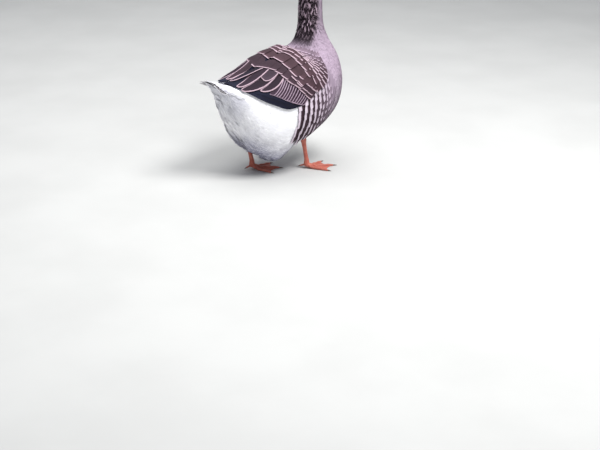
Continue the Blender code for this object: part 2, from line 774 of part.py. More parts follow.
def foot(side, finish):
    """The webbed foot under its ankle, less its claws."""
    foot_x, foot_y = LEGS[side]["joint"]
    foot_x += SHIFT_X
    rings = [
        (foot_x, foot_y, 0.0075, 0.0070, 0.0070),
        (foot_x, foot_y, 0.0130, 0.0100, 0.0094),
        (foot_x, foot_y, 0.0210, 0.0104, 0.0096),
        (foot_x, foot_y, ANKLE_Z - GAP, 0.0088, 0.0080),
    ]
    bm = bmesh.new()
    loft(bm, column(rings, LEG_SIDES))
    bmesh.ops.triangulate(bm, faces=bm.faces)
    made = link("foot_" + side, bm, finish)
    pieces = [toe(side, TOES[name], finish) for name in TOES]
    pieces.append(web(side, TOES["inner"], TOES["middle"], finish))
    pieces.append(web(side, TOES["middle"], TOES["outer"], finish))
    pieces.append(hind_toe(side, finish))
    return join(made, pieces)


def hind_line(side):
    """The hind toe's root, direction and radius; it hangs clear of the floor on the foot's inner side."""
    outward = -1 if side == "right" else 1
    along = turned(LEGS[side]["turn"] + outward * HIND_TOE["turn"])
    root = Vector((LEGS[side]["joint"][0] + SHIFT_X, LEGS[side]["joint"][1], 0.015))
    return root, (along - Vector((0, 0, 0.30))).normalized()


def hind_toe(side, finish):
    root, along = hind_line(side)
    return spike("hind", root, along, HIND_TOE["long"], HIND_TOE["radius"], HIND_TOE["radius"] * 0.7, finish)


def spike(name, root, along, long, start_radius, end_radius, finish, sides=8, sag=0.0, steps=3):
    """A round tapering rod from root along a direction, its tip sagging by sag."""
    across = Vector((-along.y, along.x, 0)).normalized()
    up = along.cross(across)
    if up.z < 0:
        up = -up
    rings = []
    for i in range(steps + 1):
        share = i / steps
        radius = start_radius + (end_radius - start_radius) * share
        middle = root + along * long * share - Vector((0, 0, sag * share * share))
        turns = [2 * math.pi * (k + 0.5) / sides for k in range(sides)]
        rings.append([middle + across * radius * math.cos(a) + up * radius * math.sin(a) for a in turns])
    bm = bmesh.new()
    loft(bm, rings)
    bmesh.ops.triangulate(bm, faces=bm.faces)
    return link(name, bm, finish)


def claw(side, toe_name, finish):
    """A claw that carries its toe on from one gap past its end."""
    name = "claw_" + side + "_" + toe_name
    if toe_name == "hind":
        root, along = hind_line(side)
        start = root + along * (HIND_TOE["long"] + GAP)
        return spike(name, start, along, CLAW_LONG["hind"], 0.0024, 0.0007, finish, sag=0.0004)
    spec = TOES[toe_name]
    rings, along = toe_rings(side, spec)
    middle = sum(rings[-1], Vector()) / TOE_SIDES
    start = Vector((middle.x, middle.y, max(middle.z, 0.0028))) + along * GAP
    return spike(name, start, along, CLAW_LONG[toe_name], 0.0026, 0.0007, finish, sag=0.0012)


def build():
    clear_scene()
    plumage = material("plumage", (0.62, 0.58, 0.60), 0.85)
    white = material("white_plumage", (0.85, 0.84, 0.85), 0.85)
    horn = material("horn", (0.72, 0.30, 0.12), 0.45)
    skin = material("skin", (0.66, 0.30, 0.20), 0.55)
    dark = material("eye", (0.05, 0.03, 0.02), 0.12)
    claws = material("claw", (0.45, 0.38, 0.33), 0.5)

    torso = body_part("torso", TAIL_CUT, NECK_CUT, TORSO_ROWS, plumage, gap_end=0.0)
    for side in LEGS:
        cut(torso, leg(side, skin, swell=GAP))
    body_part("neck", NECK_CUT, HEAD_CUT, NECK_ROWS, plumage, gap_start=GAP)
    head(plumage)
    bill_upper(horn)
    bill_half("bill_lower", BILL_LOWER, -1, horn)
    tail(white)
    for side in LEGS:
        eye(side, dark)
        wing(side, plumage)
        leg(side, skin)
        foot(side, skin)
        for toe_name in CLAW_LONG:
            claw(side, toe_name, claws)


build()
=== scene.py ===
import math

import bmesh
import bpy
import numpy as np
from mathutils import Matrix, Vector, bvhtree, kdtree


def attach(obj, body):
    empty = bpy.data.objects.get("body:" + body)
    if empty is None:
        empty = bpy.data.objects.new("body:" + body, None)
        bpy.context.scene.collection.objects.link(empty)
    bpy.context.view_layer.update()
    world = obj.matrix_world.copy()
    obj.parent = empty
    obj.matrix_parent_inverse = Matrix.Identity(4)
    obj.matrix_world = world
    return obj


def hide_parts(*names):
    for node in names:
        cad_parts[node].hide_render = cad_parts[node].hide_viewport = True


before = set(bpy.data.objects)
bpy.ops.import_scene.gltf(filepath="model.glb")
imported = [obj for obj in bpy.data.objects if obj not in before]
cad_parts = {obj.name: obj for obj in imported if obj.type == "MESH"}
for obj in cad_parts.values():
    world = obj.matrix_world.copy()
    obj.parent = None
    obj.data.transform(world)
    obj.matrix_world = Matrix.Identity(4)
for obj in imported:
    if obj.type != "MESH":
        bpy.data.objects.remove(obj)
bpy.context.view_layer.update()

# The goose faces +X, its left side is +Y. A place on its body is a pair, as in the solids: how far along it
# (0 near the tail, 1 at the top of the neck, 1.4 at the bill) and the angle round it in degrees (0 on the
# left side, 90 on the back, 180 on the right side, 270 on the belly). The functions call them t and a, and
# b is the angle from the middle of the back, the same on both sides.
SHIFT_X = 0.0044
# Stations: place along the body, centre x and z, lean of the upright, half width, reach up, reach down.
BODY = np.array([
    (-0.10, -0.266, 0.338, -28, 0.036, 0.005, 0.008),
    (-0.04, -0.246, 0.328, -28, 0.048, 0.011, 0.022),
    (0.04, -0.218, 0.312, -28, 0.062, 0.027, 0.048),
    (0.16, -0.176, 0.291, -20, 0.094, 0.062, 0.104),
    (0.28, -0.120, 0.263, -10, 0.122, 0.112, 0.175),
    (0.40, -0.057, 0.243, 0, 0.139, 0.154, 0.208),
    (0.52, 0.010, 0.248, 6, 0.144, 0.164, 0.163),
    (0.62, 0.065, 0.274, 16, 0.139, 0.150, 0.164),
    (0.70, 0.104, 0.310, 34, 0.126, 0.128, 0.165),
    (0.77, 0.124, 0.350, 54, 0.101, 0.102, 0.147),
    (0.83, 0.130, 0.397, 72, 0.069, 0.074, 0.110),
    (0.88, 0.129, 0.442, 84, 0.048, 0.052, 0.066),
    (0.93, 0.128, 0.500, 89, 0.039, 0.041, 0.045),
    (1.00, 0.130, 0.600, 89, 0.036, 0.040, 0.041),
    (1.06, 0.133, 0.672, 86, 0.034, 0.038, 0.041),
    (1.12, 0.139, 0.712, 72, 0.0325, 0.041, 0.046),
    (1.18, 0.150, 0.741, 48, 0.0315, 0.044, 0.048),
    (1.24, 0.168, 0.756, 22, 0.0305, 0.040, 0.044),
    (1.30, 0.190, 0.757, 4, 0.0285, 0.035, 0.039),
    (1.36, 0.210, 0.751, -10, 0.0235, 0.027, 0.030),
    (1.40, 0.222, 0.747, -16, 0.018, 0.020, 0.022),
])
TAIL_END, HEAD_END = -0.10, 1.40
ROUNDNESS = 0.92
GROOVE_DEEP, GROOVE_WIDE, GROOVE_AT, GROOVE_LONG = 0.115, 0.032, 0.30, 0.17
FURROW_DEEP, FURROW_WIDE, FURROW_AT, FURROW_LONG = 0.100, 0.034, 0.42, 0.34
DEWLAP_AT, DEWLAP_SIZE, DEWLAP_SLOPE = (0.184, 0.0, 0.704), (0.044, 0.0125, 0.018), 52.0
DEWLAP_COAT, NECK_FROM = 0.0016, 0.6
# The folded wing's core: place along the body, angle of its upper and lower edges, thickness.
WING = np.array([
    (0.02, 104, 140, 0.003), (0.08, 92, 160, 0.004), (0.15, 90.8, 170, 0.005), (0.23, 90.6, 173, 0.0055),
    (0.43, 90.6, 172, 0.006), (0.53, 90.6, 168, 0.006), (0.61, 90.8, 164, 0.006), (0.69, 93, 160, 0.004),
    (0.75, 100, 152, 0.002),
])
FAN_ROOT, FAN_RISE, FAN_LONG, FAN_SPREAD = (-0.200, 0.0, 0.304), 28.0, 0.105, 20.0
FAN_HALF_ROOT, FAN_DROOP = 0.034, 0.006
EYE_PLACE, EYE_RADIUS, EYE_SHOWS, IRIS_REACH = (1.285, 18.0), 0.0080, 0.0024, 0.75
LID_REACH, LID_RISE, LID_THICK = 0.0066, 0.0049, (0.0011, 0.00055)
# Each foot: its joint (x, y) and the turn of its middle toe in degrees.
FEET = {"right": ((0.062, -0.072), -22.0), "left": ((-0.095, 0.034), -33.0)}
TOE_SPREAD, TOE_HALF, TOE_PLATE, SHANK_PLATE = 36.0, (0.0045, 0.0068), 0.0034, 0.0042
PLATE_DEEP, CREASE_DEEP = 0.00028, 0.00022
# How far feathers keep from the middle of an eye: their roots, and any part of them.
ROOT_CLEAR, VANE_CLEAR = 0.0072, 0.0066
# Places tried for each one that is kept, over the body and on the head; the small feathers' drift in degrees.
BODY_TRIES, HEAD_TRIES, DRIFT = 9, 8, 6.0
rng = np.random.default_rng(17)


# Shapes: the body's surface as functions, on arrays.

def bends(table):
    """Slopes of the curves through the table's stations that keep between them."""
    at, values = table[:, 0], table[:, 1:]
    steps = np.diff(at)
    slopes = np.diff(values, axis=0) / steps[:, None]
    out = np.zeros_like(values)
    out[0], out[-1] = slopes[0], slopes[-1]
    for k in range(1, len(at) - 1):
        a, b = 2 * steps[k] + steps[k - 1], steps[k] + 2 * steps[k - 1]
        before, after = slopes[k - 1], slopes[k]
        same = before * after > 0
        out[k, same] = (a + b) / (a / before[same] + b / after[same])
    return out


def curve_of(table):
    """A function that gives the table's columns at places along it."""
    at, values, bend = table[:, 0], table[:, 1:], bends(table)

    def read(t):
        t = np.clip(t, at[0], at[-1])
        i = np.clip(np.searchsorted(at, t, side="right") - 1, 0, len(at) - 2)
        span = (at[i + 1] - at[i])[..., None]
        u = (t - at[i])[..., None] / span
        near = (1 + 2 * u) * (1 - u) ** 2 * values[i] + u * (1 - u) ** 2 * span * bend[i]
        return near + u * u * (3 - 2 * u) * values[i + 1] + u * u * (u - 1) * span * bend[i + 1]

    return read


body_at, wing_at = curve_of(BODY), curve_of(WING)


def smooth(low, high, x):
    """0 below low, 1 above high, eased between."""
    u = np.clip((x - low) / (high - low), 0, 1)
    return u * u * (3 - 2 * u)


def hump(t, middle, reach):
    u = np.clip(np.abs(t - middle) / reach, 0, 1)
    return (1 - u * u) ** 2


def unit(v):
    return v / np.maximum(np.linalg.norm(v, axis=-1, keepdims=True), 1e-9)


def surface(t, angle):
    """Points on the body's surface."""
    t, angle = np.broadcast_arrays(np.asarray(t, float), np.asarray(angle, float))
    x, z, lean, wide, up, down = np.moveaxis(body_at(t), -1, 0)
    lean, turn = np.radians(lean), np.radians(angle)
    cos, sin = np.cos(turn), np.sin(turn)
    across = wide * np.sign(cos) * np.abs(cos) ** ROUNDNESS
    raised = np.where(sin > 0, up, down) * np.sign(sin) * np.abs(sin) ** ROUNDNESS
    furrow = FURROW_DEEP * hump(t, FURROW_AT, FURROW_LONG) * np.exp(-((across / FURROW_WIDE) ** 2))
    groove = GROOVE_DEEP * hump(t, GROOVE_AT, GROOVE_LONG) * np.exp(-((across / GROOVE_WIDE) ** 2))
    raised = raised * (1 - np.where(sin > 0, furrow, groove))
    return np.stack([x + SHIFT_X - np.sin(lean) * raised, across, z + np.cos(lean) * raised], -1)


def outward(t, angle):
    """The surface's normals."""
    along = surface(t + 0.002, angle) - surface(t - 0.002, angle)
    around = surface(t, angle + 0.5) - surface(t, angle - 0.5)
    return unit(np.cross(around, along))


def from_back(angle):
    """Degrees from the middle of the back: 0 there, 90 at either side, 180 on the belly."""
    return np.abs((np.asarray(angle, float) + 90) % 360 - 180)


def in_wing(t, angle, margin=0.0):
    """1 under the folded wing, 0 off it, eased over its edge; a margin in degrees draws that edge in."""
    b = from_back(angle) + 90
    upper, lower, _ = np.moveaxis(wing_at(t), -1, 0)
    upper, lower, inset = upper + margin, lower - margin, margin / 300
    ends = smooth(inset, 0.05 + inset, t) * (1 - smooth(0.72 - inset, 0.78 - inset, t))
    return ends * smooth(upper, upper + 3, b) * (1 - smooth(lower - 6, lower, b))


# Markings: colours as they are seen, made linear, and where each lies on the body.

def tone(red, green, blue):
    """A colour given as a screen shows it, in the linear values that materials use."""
    seen = np.array([red, green, blue], float) / 255
    return np.where(seen <= 0.04045, seen / 12.92, ((seen + 0.055) / 1.055) ** 2.4)


WHITE, SNOW_TRIM = tone(242, 241, 244), tone(247, 246, 249)
LILAC, LILAC_TRIM = tone(163, 145, 162), tone(176, 160, 176)
# The breast's colour and feather edges low down, greyer and darker as painted shade.
LOW_BREAST_IN_SHADE, LOW_BREAST_SHADE_TRIM = tone(90, 77, 88), tone(124, 110, 122)
NECK_DARK, NECK_TRIM = tone(30, 21, 28), tone(156, 136, 149)
HEAD_GREY, HEAD_PALE = tone(84, 71, 78), tone(126, 111, 119)
BROWN, BROWN_TRIM = tone(68, 49, 55), tone(176, 152, 163)
SLATE, SLATE_SHEEN = tone(24, 25, 42), tone(40, 42, 62)
MANTLE, MANTLE_TRIM = tone(61, 44, 51), tone(170, 149, 160)
FLANK, FLANK_TRIM = tone(54, 38, 46), tone(208, 194, 206)
# The tail's grey band, and the white as it looks in shade, which lays painted shade on white feathers.
BAND, WHITE_IN_SHADE = tone(118, 108, 112), tone(164, 163, 179)
COVERT, SCAPULAR = tone(60, 44, 53), tone(72, 52, 59)


def blend(first, second, share):
    share = np.asarray(share, float)[..., None]
    return first * (1 - share) + second * share


def markings(t, angle):
    """The coat's colour, the colour of its feathers' edges and the width of those edges in mm."""
    b = from_back(angle)
    t = np.asarray(t, float)
    hem = wing_at(t)[..., 1] - 90
    # The back, dark with painted shade in the crease along its middle, and under the wings, then the sides,
    # the breast, greyer low down with painted shade, and the barred flanks.
    mantle = smooth(4, 9, b) * (1 - smooth(hem - 34, hem - 28, b))
    shoulder = smooth(0.745, 0.79, t)
    colour = blend(BROWN, LILAC * 0.88, shoulder)
    # Painted shade: the crease along the middle of the back, from the tail to t 0.6, is slate dark; under the
    # wings is slate too.
    colour = blend(colour, SLATE, (1 - mantle) * (1 - smooth(0.55, 0.60, t)))
    edge = blend(BROWN_TRIM, LILAC, shoulder)
    side, low = smooth(75, 95, b) * smooth(0.44, 0.60, t), smooth(98, 150, b)
    # Painted shade: the breast and its feathers' edges grow greyer and darker towards its underside.
    colour = blend(colour, blend(LILAC, LOW_BREAST_IN_SHADE, low * (1 - smooth(0.70, 0.84, t))), side)
    edge = blend(edge, blend(LILAC_TRIM, LOW_BREAST_SHADE_TRIM, low), side)
    flank = hump(t, 0.53, 0.20) ** 0.3 * smooth(70, 84, b) * (1 - smooth(118, 132, b)) * smooth(0.43, 0.47, t)
    colour, edge = blend(colour, FLANK, flank), blend(edge, FLANK_TRIM, flank)
    # The neck, with its dark hood, and the head.
    dusk = (1 - 0.2 * smooth(0.84, 0.96, t))[..., None]
    hood = np.interp(t, [0.80, 0.86, 0.93], [44, 62, 98])
    nape = (1 - smooth(hood - 12, hood + 12, b)) * smooth(0.80, 0.88, t)
    colour, edge = blend(colour * dusk, NECK_DARK, nape), blend(edge * dusk, NECK_TRIM, nape)
    head, face = smooth(1.05, 1.16, t), blend(HEAD_PALE, HEAD_GREY, 1 - smooth(50, 100, b))
    colour, edge = blend(colour, face, head), blend(edge, blend(face, HEAD_PALE, 0.5), head)
    # The white behind, greyed with painted shade low on the paunch, beside the vent and at the tail.
    belly = np.maximum(smooth(hem - 16, hem - 10, b) * (1 - smooth(0.43, 0.47, t)), 1 - smooth(0.05, 0.12, t))
    belly = np.maximum(belly, smooth(128, 150, b) * (1 - smooth(0.50, 0.62, t)))
    # Painted shade: the paunch's underside, the wedge under the tail beside the vent, and the rump and tail
    # are greyed as if in shadow.
    painted_shade = 1.35 * smooth(112, 160, b) * smooth(0.16, 0.28, t) * (1 - smooth(0.44, 0.56, t))
    beside = 0.55 * smooth(88, 98, b) * (1 - smooth(0.06, 0.20, t)) * (1 - smooth(140, 178, b))
    painted_shade = np.maximum(np.maximum(painted_shade, beside), 0.4 * (1 - smooth(0.0, 0.10, t)))
    white = blend(WHITE, WHITE_IN_SHADE, painted_shade)
    colour, edge = blend(colour, white, belly), blend(edge, blend(white, SNOW_TRIM, 0.5), belly)
    plain = smooth(0.74, 0.80, t)
    wide = (1.1 + 1.6 * flank + 0.4 * side) * (1 - 0.6 * plain) * (1 - 0.9 * nape)
    return colour, blend(edge, colour, 0.6 * plain * (1 - smooth(0.88, 0.92, t))), wide


# Materials.

def paint(*seen):
    return (*tone(*seen), 1.0)


def material(name):
    made = bpy.data.materials.new(name)
    made.use_nodes = True
    return made, made.node_tree, made.node_tree.nodes["Principled BSDF"]


def node(tree, kind, links=(), **values):
    """A node with inputs linked or set by name or number, and its own properties."""
    made = tree.nodes.new("ShaderNode" + kind)
    for key, value in values.items():
        setattr(made, key, value)
    for key, value in dict(links).items():
        socket = made.inputs[key]
        if isinstance(value, bpy.types.NodeSocket):
            tree.links.new(value, socket)
        else:
            socket.default_value = value
    return made


def sums(tree, operation, *terms):
    return node(tree, "Math", dict(enumerate(terms)), operation=operation).outputs[0]


def mixed(tree, share, first, second, kind="MIX"):
    return node(tree, "Mix", {0: share, 6: first, 7: second}, data_type="RGBA", blend_type=kind).outputs[2]


def spread(tree, value, low, high, to_low=0.0, to_high=1.0):
    levels = {0: value, 1: low, 2: high, 3: to_low, 4: to_high}
    return node(tree, "MapRange", levels, interpolation_type="SMOOTHSTEP").outputs[0]


def noise(tree, scale, detail):
    where = tree.nodes.new("ShaderNodeTexCoord").outputs["Object"]
    return node(tree, "TexNoise", {"Vector": where, "Scale": scale, "Detail": detail}).outputs[0]


def attribute(tree, name, output="Fac"):
    return node(tree, "Attribute", attribute_name=name).outputs[output]


def shaded(tree, colour, shade):
    grey = node(tree, "CombineColor", {0: shade, 1: shade, 2: shade}).outputs[0]
    return mixed(tree, 1.0, colour, grey, "MULTIPLY")


def over(tree, colour, share, *seen):
    """The colour with another one laid over it."""
    return mixed(tree, share, colour, paint(*seen))


def blotched(tree, scale, detail, first, second, low=0.3, high=0.7):
    """Two close tones in soft blotches."""
    return mixed(tree, spread(tree, noise(tree, scale, detail), low, high), paint(*first), paint(*second))


def bump(tree, shader, height, distance, strength=1.0):
    made = node(tree, "Bump", {"Height": height, "Distance": distance, "Strength": strength})
    tree.links.new(made.outputs[0], shader.inputs["Normal"])


def coloured(tree, shader, colour, **values):
    """Links the colour and sets the shader's other inputs, named with _ for each space."""
    tree.links.new(colour, shader.inputs["Base Color"])
    for key, value in values.items():
        shader.inputs[key.replace("_", " ")].default_value = value


def feather_material():
    """Vanes: the coat's colour, a paler edge, a quill and barbs that slant from it."""
    made, tree, shader = material("plumage")
    parts = node(tree, "SeparateXYZ", {0: node(tree, "UVMap", uv_map="Vane").outputs[0]}).outputs
    off_quill = sums(tree, "ABSOLUTE", parts[0])
    patchy = sums(tree, "ADD", noise(tree, 190.0, 2.0), noise(tree, 60.0, 1.0))
    uneven = sums(tree, "MULTIPLY", sums(tree, "SUBTRACT", patchy, 1.0), 2.0)
    rim, wide = sums(tree, "ADD", attribute(tree, "Rim"), uneven), attribute(tree, "Wide")
    gone = spread(tree, rim, sums(tree, "MULTIPLY", wide, 0.78), sums(tree, "MULTIPLY", wide, 1.18))
    colour = mixed(tree, gone, attribute(tree, "Trim", "Color"), attribute(tree, "Tint", "Color"))
    slant = sums(tree, "ADD", sums(tree, "MULTIPLY", off_quill, 1.3), parts[1])
    barbs = sums(tree, "SINE", sums(tree, "MULTIPLY", slant, 5.2))
    ribbed = spread(tree, attribute(tree, "Quill"), 0.0, 0.3, 0.0, 0.16)
    ribs = sums(tree, "MULTIPLY", ribbed, sums(tree, "MULTIPLY_ADD", barbs, 0.5, 0.5))
    mottle = spread(tree, noise(tree, 34.0, 4.0), 0.25, 0.75, 0.92, 1.06)
    # Darker away from the pale fringe, towards where the row above lies over it: partly the feather's own
    # tone, partly painted shade.
    middle = spread(tree, sums(tree, "SUBTRACT", attribute(tree, "Rim"), wide), 1.0, 16.0, 1.12, 0.84)
    shade = sums(tree, "MULTIPLY", sums(tree, "SUBTRACT", 1.0, ribs), mottle)
    colour = shaded(tree, colour, sums(tree, "MULTIPLY", shade, middle))
    quill = sums(tree, "MULTIPLY", spread(tree, off_quill, 0.18, 0.5, 1.0, 0.0), attribute(tree, "Quill"))
    coloured(tree, shader, over(tree, colour, quill, 44, 34, 38), Roughness=0.75, Specular_IOR_Level=0.16)
    bump(tree, shader, noise(tree, 700.0, 3.0), 0.00012, 0.5)
    return made


def down_material():
    """The skin under the coat, covered in down of the coat's colours."""
    made, tree, shader = material("down")
    soft = spread(tree, noise(tree, 420.0, 4.0), 0.3, 0.7, 0.80, 1.05)
    colour = shaded(tree, attribute(tree, "Tint", "Color"), soft)
    coloured(tree, shader, colour, Roughness=0.9, Specular_IOR_Level=0.15)
    bump(tree, shader, noise(tree, 420.0, 4.0), 0.0006)
    return made


def leg_material():
    """Salmon skin of the shanks and feet: small scales, dusky in creases and between the plates."""
    made, tree, shader = material("foot_skin")
    where = tree.nodes.new("ShaderNodeTexCoord").outputs["Object"]
    cells = node(tree, "TexVoronoi", {"Vector": where, "Scale": 620.0}, feature="DISTANCE_TO_EDGE").outputs[0]
    scale = spread(tree, cells, 0.0, 0.16)
    colour = blotched(tree, 60.0, 4.0, (190, 98, 80), (204, 120, 100), 0.35, 0.68)
    colour = over(tree, colour, spread(tree, scale, 0.0, 1.0, 0.42, 0.0), 140, 84, 78)
    colour = over(tree, colour, sums(tree, "MULTIPLY", attribute(tree, "Plate"), 0.55), 112, 62, 54)
    coloured(tree, shader, colour, Roughness=0.48, Specular_IOR_Level=0.45, Subsurface_Weight=0.08,
             Subsurface_Scale=0.004)
    bump(tree, shader, scale, 0.00025, 0.6)
    return made


def bill_material():
    """Orange horn, pinker towards the face and paler at the tip, with a fine grain, and the nostrils darkened
    with painted shade.
    """
    made, tree, shader = material("bill_sheath")
    along = attribute(tree, "Along")
    colour = blotched(tree, 90.0, 5.0, (216, 116, 46), (230, 142, 74))
    colour = over(tree, colour, spread(tree, along, 0.30, 0.0, 0.0, 0.55), 214, 126, 92)
    colour = over(tree, colour, spread(tree, along, 0.84, 0.97, 0.0, 0.6), 226, 186, 146)
    # Painted shade: the inside of each nostril is painted near-black.
    colour = over(tree, colour, attribute(tree, "Pit"), 40, 16, 10)
    coloured(tree, shader, colour, Roughness=0.36, Specular_IOR_Level=0.5, Subsurface_Weight=0.05,
             Subsurface_Scale=0.003)
    bump(tree, shader, noise(tree, 700.0, 3.0), 0.00015, 0.6)
    return made


def eye_material():
    """Dark pupil, brown iris with a fine grain, darker at its rim, under a clear wet coat."""
    made, tree, shader = material("eye_globe")
    off_axis = attribute(tree, "Iris")
    iris = mixed(tree, noise(tree, 900.0, 3.0), paint(70, 40, 20), paint(112, 70, 36))
    colour = mixed(tree, spread(tree, off_axis, 0.50, 0.56), (0.004, 0.004, 0.005, 1.0), iris)
    colour = mixed(tree, spread(tree, off_axis, 0.86, 0.98), colour, (0.01, 0.008, 0.007, 1.0))
    coloured(tree, shader, colour, Roughness=0.10, Coat_Weight=1.0, Coat_Roughness=0.03)
    return made


def plain_material(name, scale, detail, first, second, grain=None, **values):
    """Two close tones in blotches of this scale and detail; the grain is a scale, a depth and a strength."""
    made, tree, shader = material(name)
    coloured(tree, shader, blotched(tree, scale, detail, first, second), **values)
    if grain:
        bump(tree, shader, noise(tree, grain[0], 2.0), *grain[1:])
    return made


PLUMAGE, DOWN, LEG_SKIN = feather_material(), down_material(), leg_material()
BILL, EYE = bill_material(), eye_material()
NAIL = plain_material("bill_nail", 240.0, 4.0, (196, 158, 124), (214, 182, 150), (900.0, 0.0001, 0.5),
                      Roughness=0.33)
CLAW = plain_material("claw_horn", 160.0, 4.0, (84, 70, 62), (126, 106, 94), (800.0, 0.0001, 0.5),
                      Roughness=0.38)
LID = plain_material("eyelid", 500.0, 3.0, (206, 112, 58), (226, 146, 92), (1200.0, 0.0001, 1.0),
                     Roughness=0.5, Subsurface_Weight=0.1, Subsurface_Scale=0.002)
FLOOR = plain_material("studio_floor", 3.0, 5.0, (186, 186, 184), (191, 191, 189), Roughness=0.9,
                       Specular_IOR_Level=0.2)


# Feathers: closed thin vanes, many in one mesh.

def vane_shape(shares, tip, square):
    """Share of a vane's width along its length: a narrow root, widest past the middle, a rounded tip."""
    body = 0.42 + 0.58 * np.sin(np.clip(shares / 0.62, 0, 1) * math.pi / 2) ** 0.8
    end = np.clip(1 - (np.clip(shares - (1 - tip), 0, None) / tip) ** 2, 0, 1) ** 0.5
    return body * (square + (1 - square) * np.maximum(end, 0.06))


def eased(first, middle, last, shares):
    """A curve from first to last, drawn towards the middle value."""
    parts = [np.asarray(v, float)[..., None] for v in (first, middle, last)]
    return parts[0] * (1 - shares) ** 2 + parts[1] * 2 * shares * (1 - shares) + parts[2] * shares ** 2


def stations(rows):
    """Shares of a feather's length from root to tip, closer together towards the tip."""
    return 1 - (1 - np.linspace(0, 1, rows)) ** 1.5


def laid(roots, tips, lifts, rows, bend=0.0):
    """Centre lines on the body from roots to tips (place, angle), bowed round it by bend degrees, and the
    ways that are up along them."""
    shares = stations(rows)
    t = roots[:, :1] * (1 - shares) + tips[:, :1] * shares
    a = roots[:, 1:] * (1 - shares) + tips[:, 1:] * shares
    a = a + np.broadcast_to(bend, (len(roots),))[:, None] * 4 * shares * (1 - shares)
    up = outward(t, a)
    return surface(t, a) + up * eased(*lifts, shares)[..., None], up, shares


def vanes(lines, ups, shares, widths, looks, bake, columns=3, thick=0.0004, tip=0.3, square=0.0, camber=0.10,
          roll=0.0, frayed=0.0, quill=0.0, rims=(1.0, 1.0), cut=0.0):
    """A block of vanes along these lines, as arrays for coat()."""
    count, rows = lines.shape[:2]
    each = lambda value: np.broadcast_to(value, (count,))[:, None, None]
    onward = unit(np.gradient(lines, axis=1))
    side = unit(np.cross(onward, ups))
    up = np.cross(side, onward)
    roll = each(np.radians(roll))
    side, up = side * np.cos(roll) + up * np.sin(roll), up * np.cos(roll) - side * np.sin(roll)
    half = np.asarray(widths, float)[:, None] / 2 * vane_shape(shares, tip, square)
    if frayed:
        half = half * (1 - frayed * rng.random((count, rows)) ** 2 * (shares > 0.2))
    half, share = half[..., None], shares[None, :, None]
    w = np.linspace(-1, 1, columns)
    w = np.sign(w) * (1 - (1 - np.abs(w)) ** 2.6)  # closer together near the two edges
    ring = np.concatenate([w, w[-2:0:-1]])
    size = len(ring)
    body = thick / 2 * (1 - ring ** 2) * np.where(np.arange(size) < columns, 1, -1) * (1 - 0.4 * share)
    across = half * ring
    high = body - each(camber) * half * ring ** 2
    pulled = -square * 0.14 * half * ring ** 2 * smooth(1 - tip, 1, share)
    pulled = pulled + each(cut) * across * smooth(0.1, 1, share)
    verts = lines[:, :, None] + side[:, :, None] * across[..., None] + up[:, :, None] * high[..., None]
    verts = verts + onward[:, :, None] * pulled[..., None]
    index = np.arange(count * rows * size).reshape(count, rows, size)
    beside = np.roll(index, -1, axis=2)
    quads = np.stack([index[:, :-1], index[:, 1:], beside[:, 1:], beside[:, :-1]], -1).reshape(-1, 4)
    cap = [[k, k + 1, size - k - 1, size - k] for k in range(columns - 1)]
    cap[0], cap[-1] = cap[0][:3], cap[-1][:2] + cap[-1][3:]
    if columns == 3:
        cap = [[0, 1, 2, 3]]
    faces = {3: [np.zeros((0, 3), int)], 4: [quads]}
    for row, sense in ((0, 1), (rows - 1, -1)):
        for corners in cap:
            faces[len(corners)].append(index[:, row, corners[::sense]])
    long = np.linalg.norm(np.diff(lines, axis=1), axis=2).sum(axis=1)[:, None, None]
    kept = 1 - smooth(1 - 1.3 * tip, 1 - 0.5 * tip, share)
    far = 1 + (np.where(ring < 0, rims[0], rims[1]) - 1) * kept  # round the tip the fringe keeps its width
    rim = np.minimum(half * (1 - np.abs(ring)) * far + 0.001 * (far - 1), long * (1 - share) + 0.0002)
    along = np.broadcast_to(share * long, across.shape)
    patch = np.stack(np.broadcast_arrays(ring * BAKE_PATCH[0], (share - 0.5) * BAKE_PATCH[1]), -1)
    tint, trim, wide = looks
    flat = lambda a: np.broadcast_to(a[:, None, None], verts.shape).reshape(-1, 3)
    alike = lambda a: np.broadcast_to(a, across.shape).ravel()
    return {
        "verts": verts.reshape(-1, 3), "quads": np.concatenate(faces[4]), "tris": np.concatenate(faces[3]),
        "vane": np.stack([across, along], -1).reshape(-1, 2) * 1000, "rim": rim.ravel() * 1000,
        "tint": flat(tint), "trim": flat(trim), "wide": alike(each(wide)), "quill": alike(each(quill)),
        "edge": alike(np.abs(ring) == 1), "bake": (bake[:, None, None, :] + patch).reshape(-1, 2),
    }


BAKE_START, BAKE_LONG, BAKE_PATCH = 0.12, 1.54, (0.0015, 0.003)


def bake_places(t, angle):
    """The roots' places on the skin's own unwrap: angle round it against place along it."""
    turn, along = np.asarray(angle) % 360, np.asarray(t) + BAKE_START
    return np.stack([0.01 + 0.98 * turn / 360, 0.01 + 0.98 * along / BAKE_LONG], -1)


def mesh_from(name, verts, faces):
    """A mesh from joined arrays of corners: a list of arrays with as many columns as corners."""
    mesh = bpy.data.meshes.new(name)
    mesh.vertices.add(len(verts))
    mesh.vertices.foreach_set("co", np.ascontiguousarray(verts, np.float32).ravel())
    corners = np.concatenate([f.ravel() for f in faces])
    totals = np.concatenate([np.full(len(f), f.shape[1]) for f in faces])
    mesh.loops.add(len(corners))
    mesh.loops.foreach_set("vertex_index", corners.astype(np.int32))
    mesh.polygons.add(len(totals))
    mesh.polygons.foreach_set("loop_start", (np.cumsum(totals) - totals).astype(np.int32))
    mesh.polygons.foreach_set("use_smooth", np.ones(len(totals), bool))
    mesh.update(calc_edges=True)
    mesh.validate()
    return mesh


def point_colour(mesh, name, values):
    opaque = np.concatenate([values, np.ones((len(values), 1))], 1).astype(np.float32)
    mesh.color_attributes.new(name, "FLOAT_COLOR", "POINT").data.foreach_set("color", opaque.ravel())


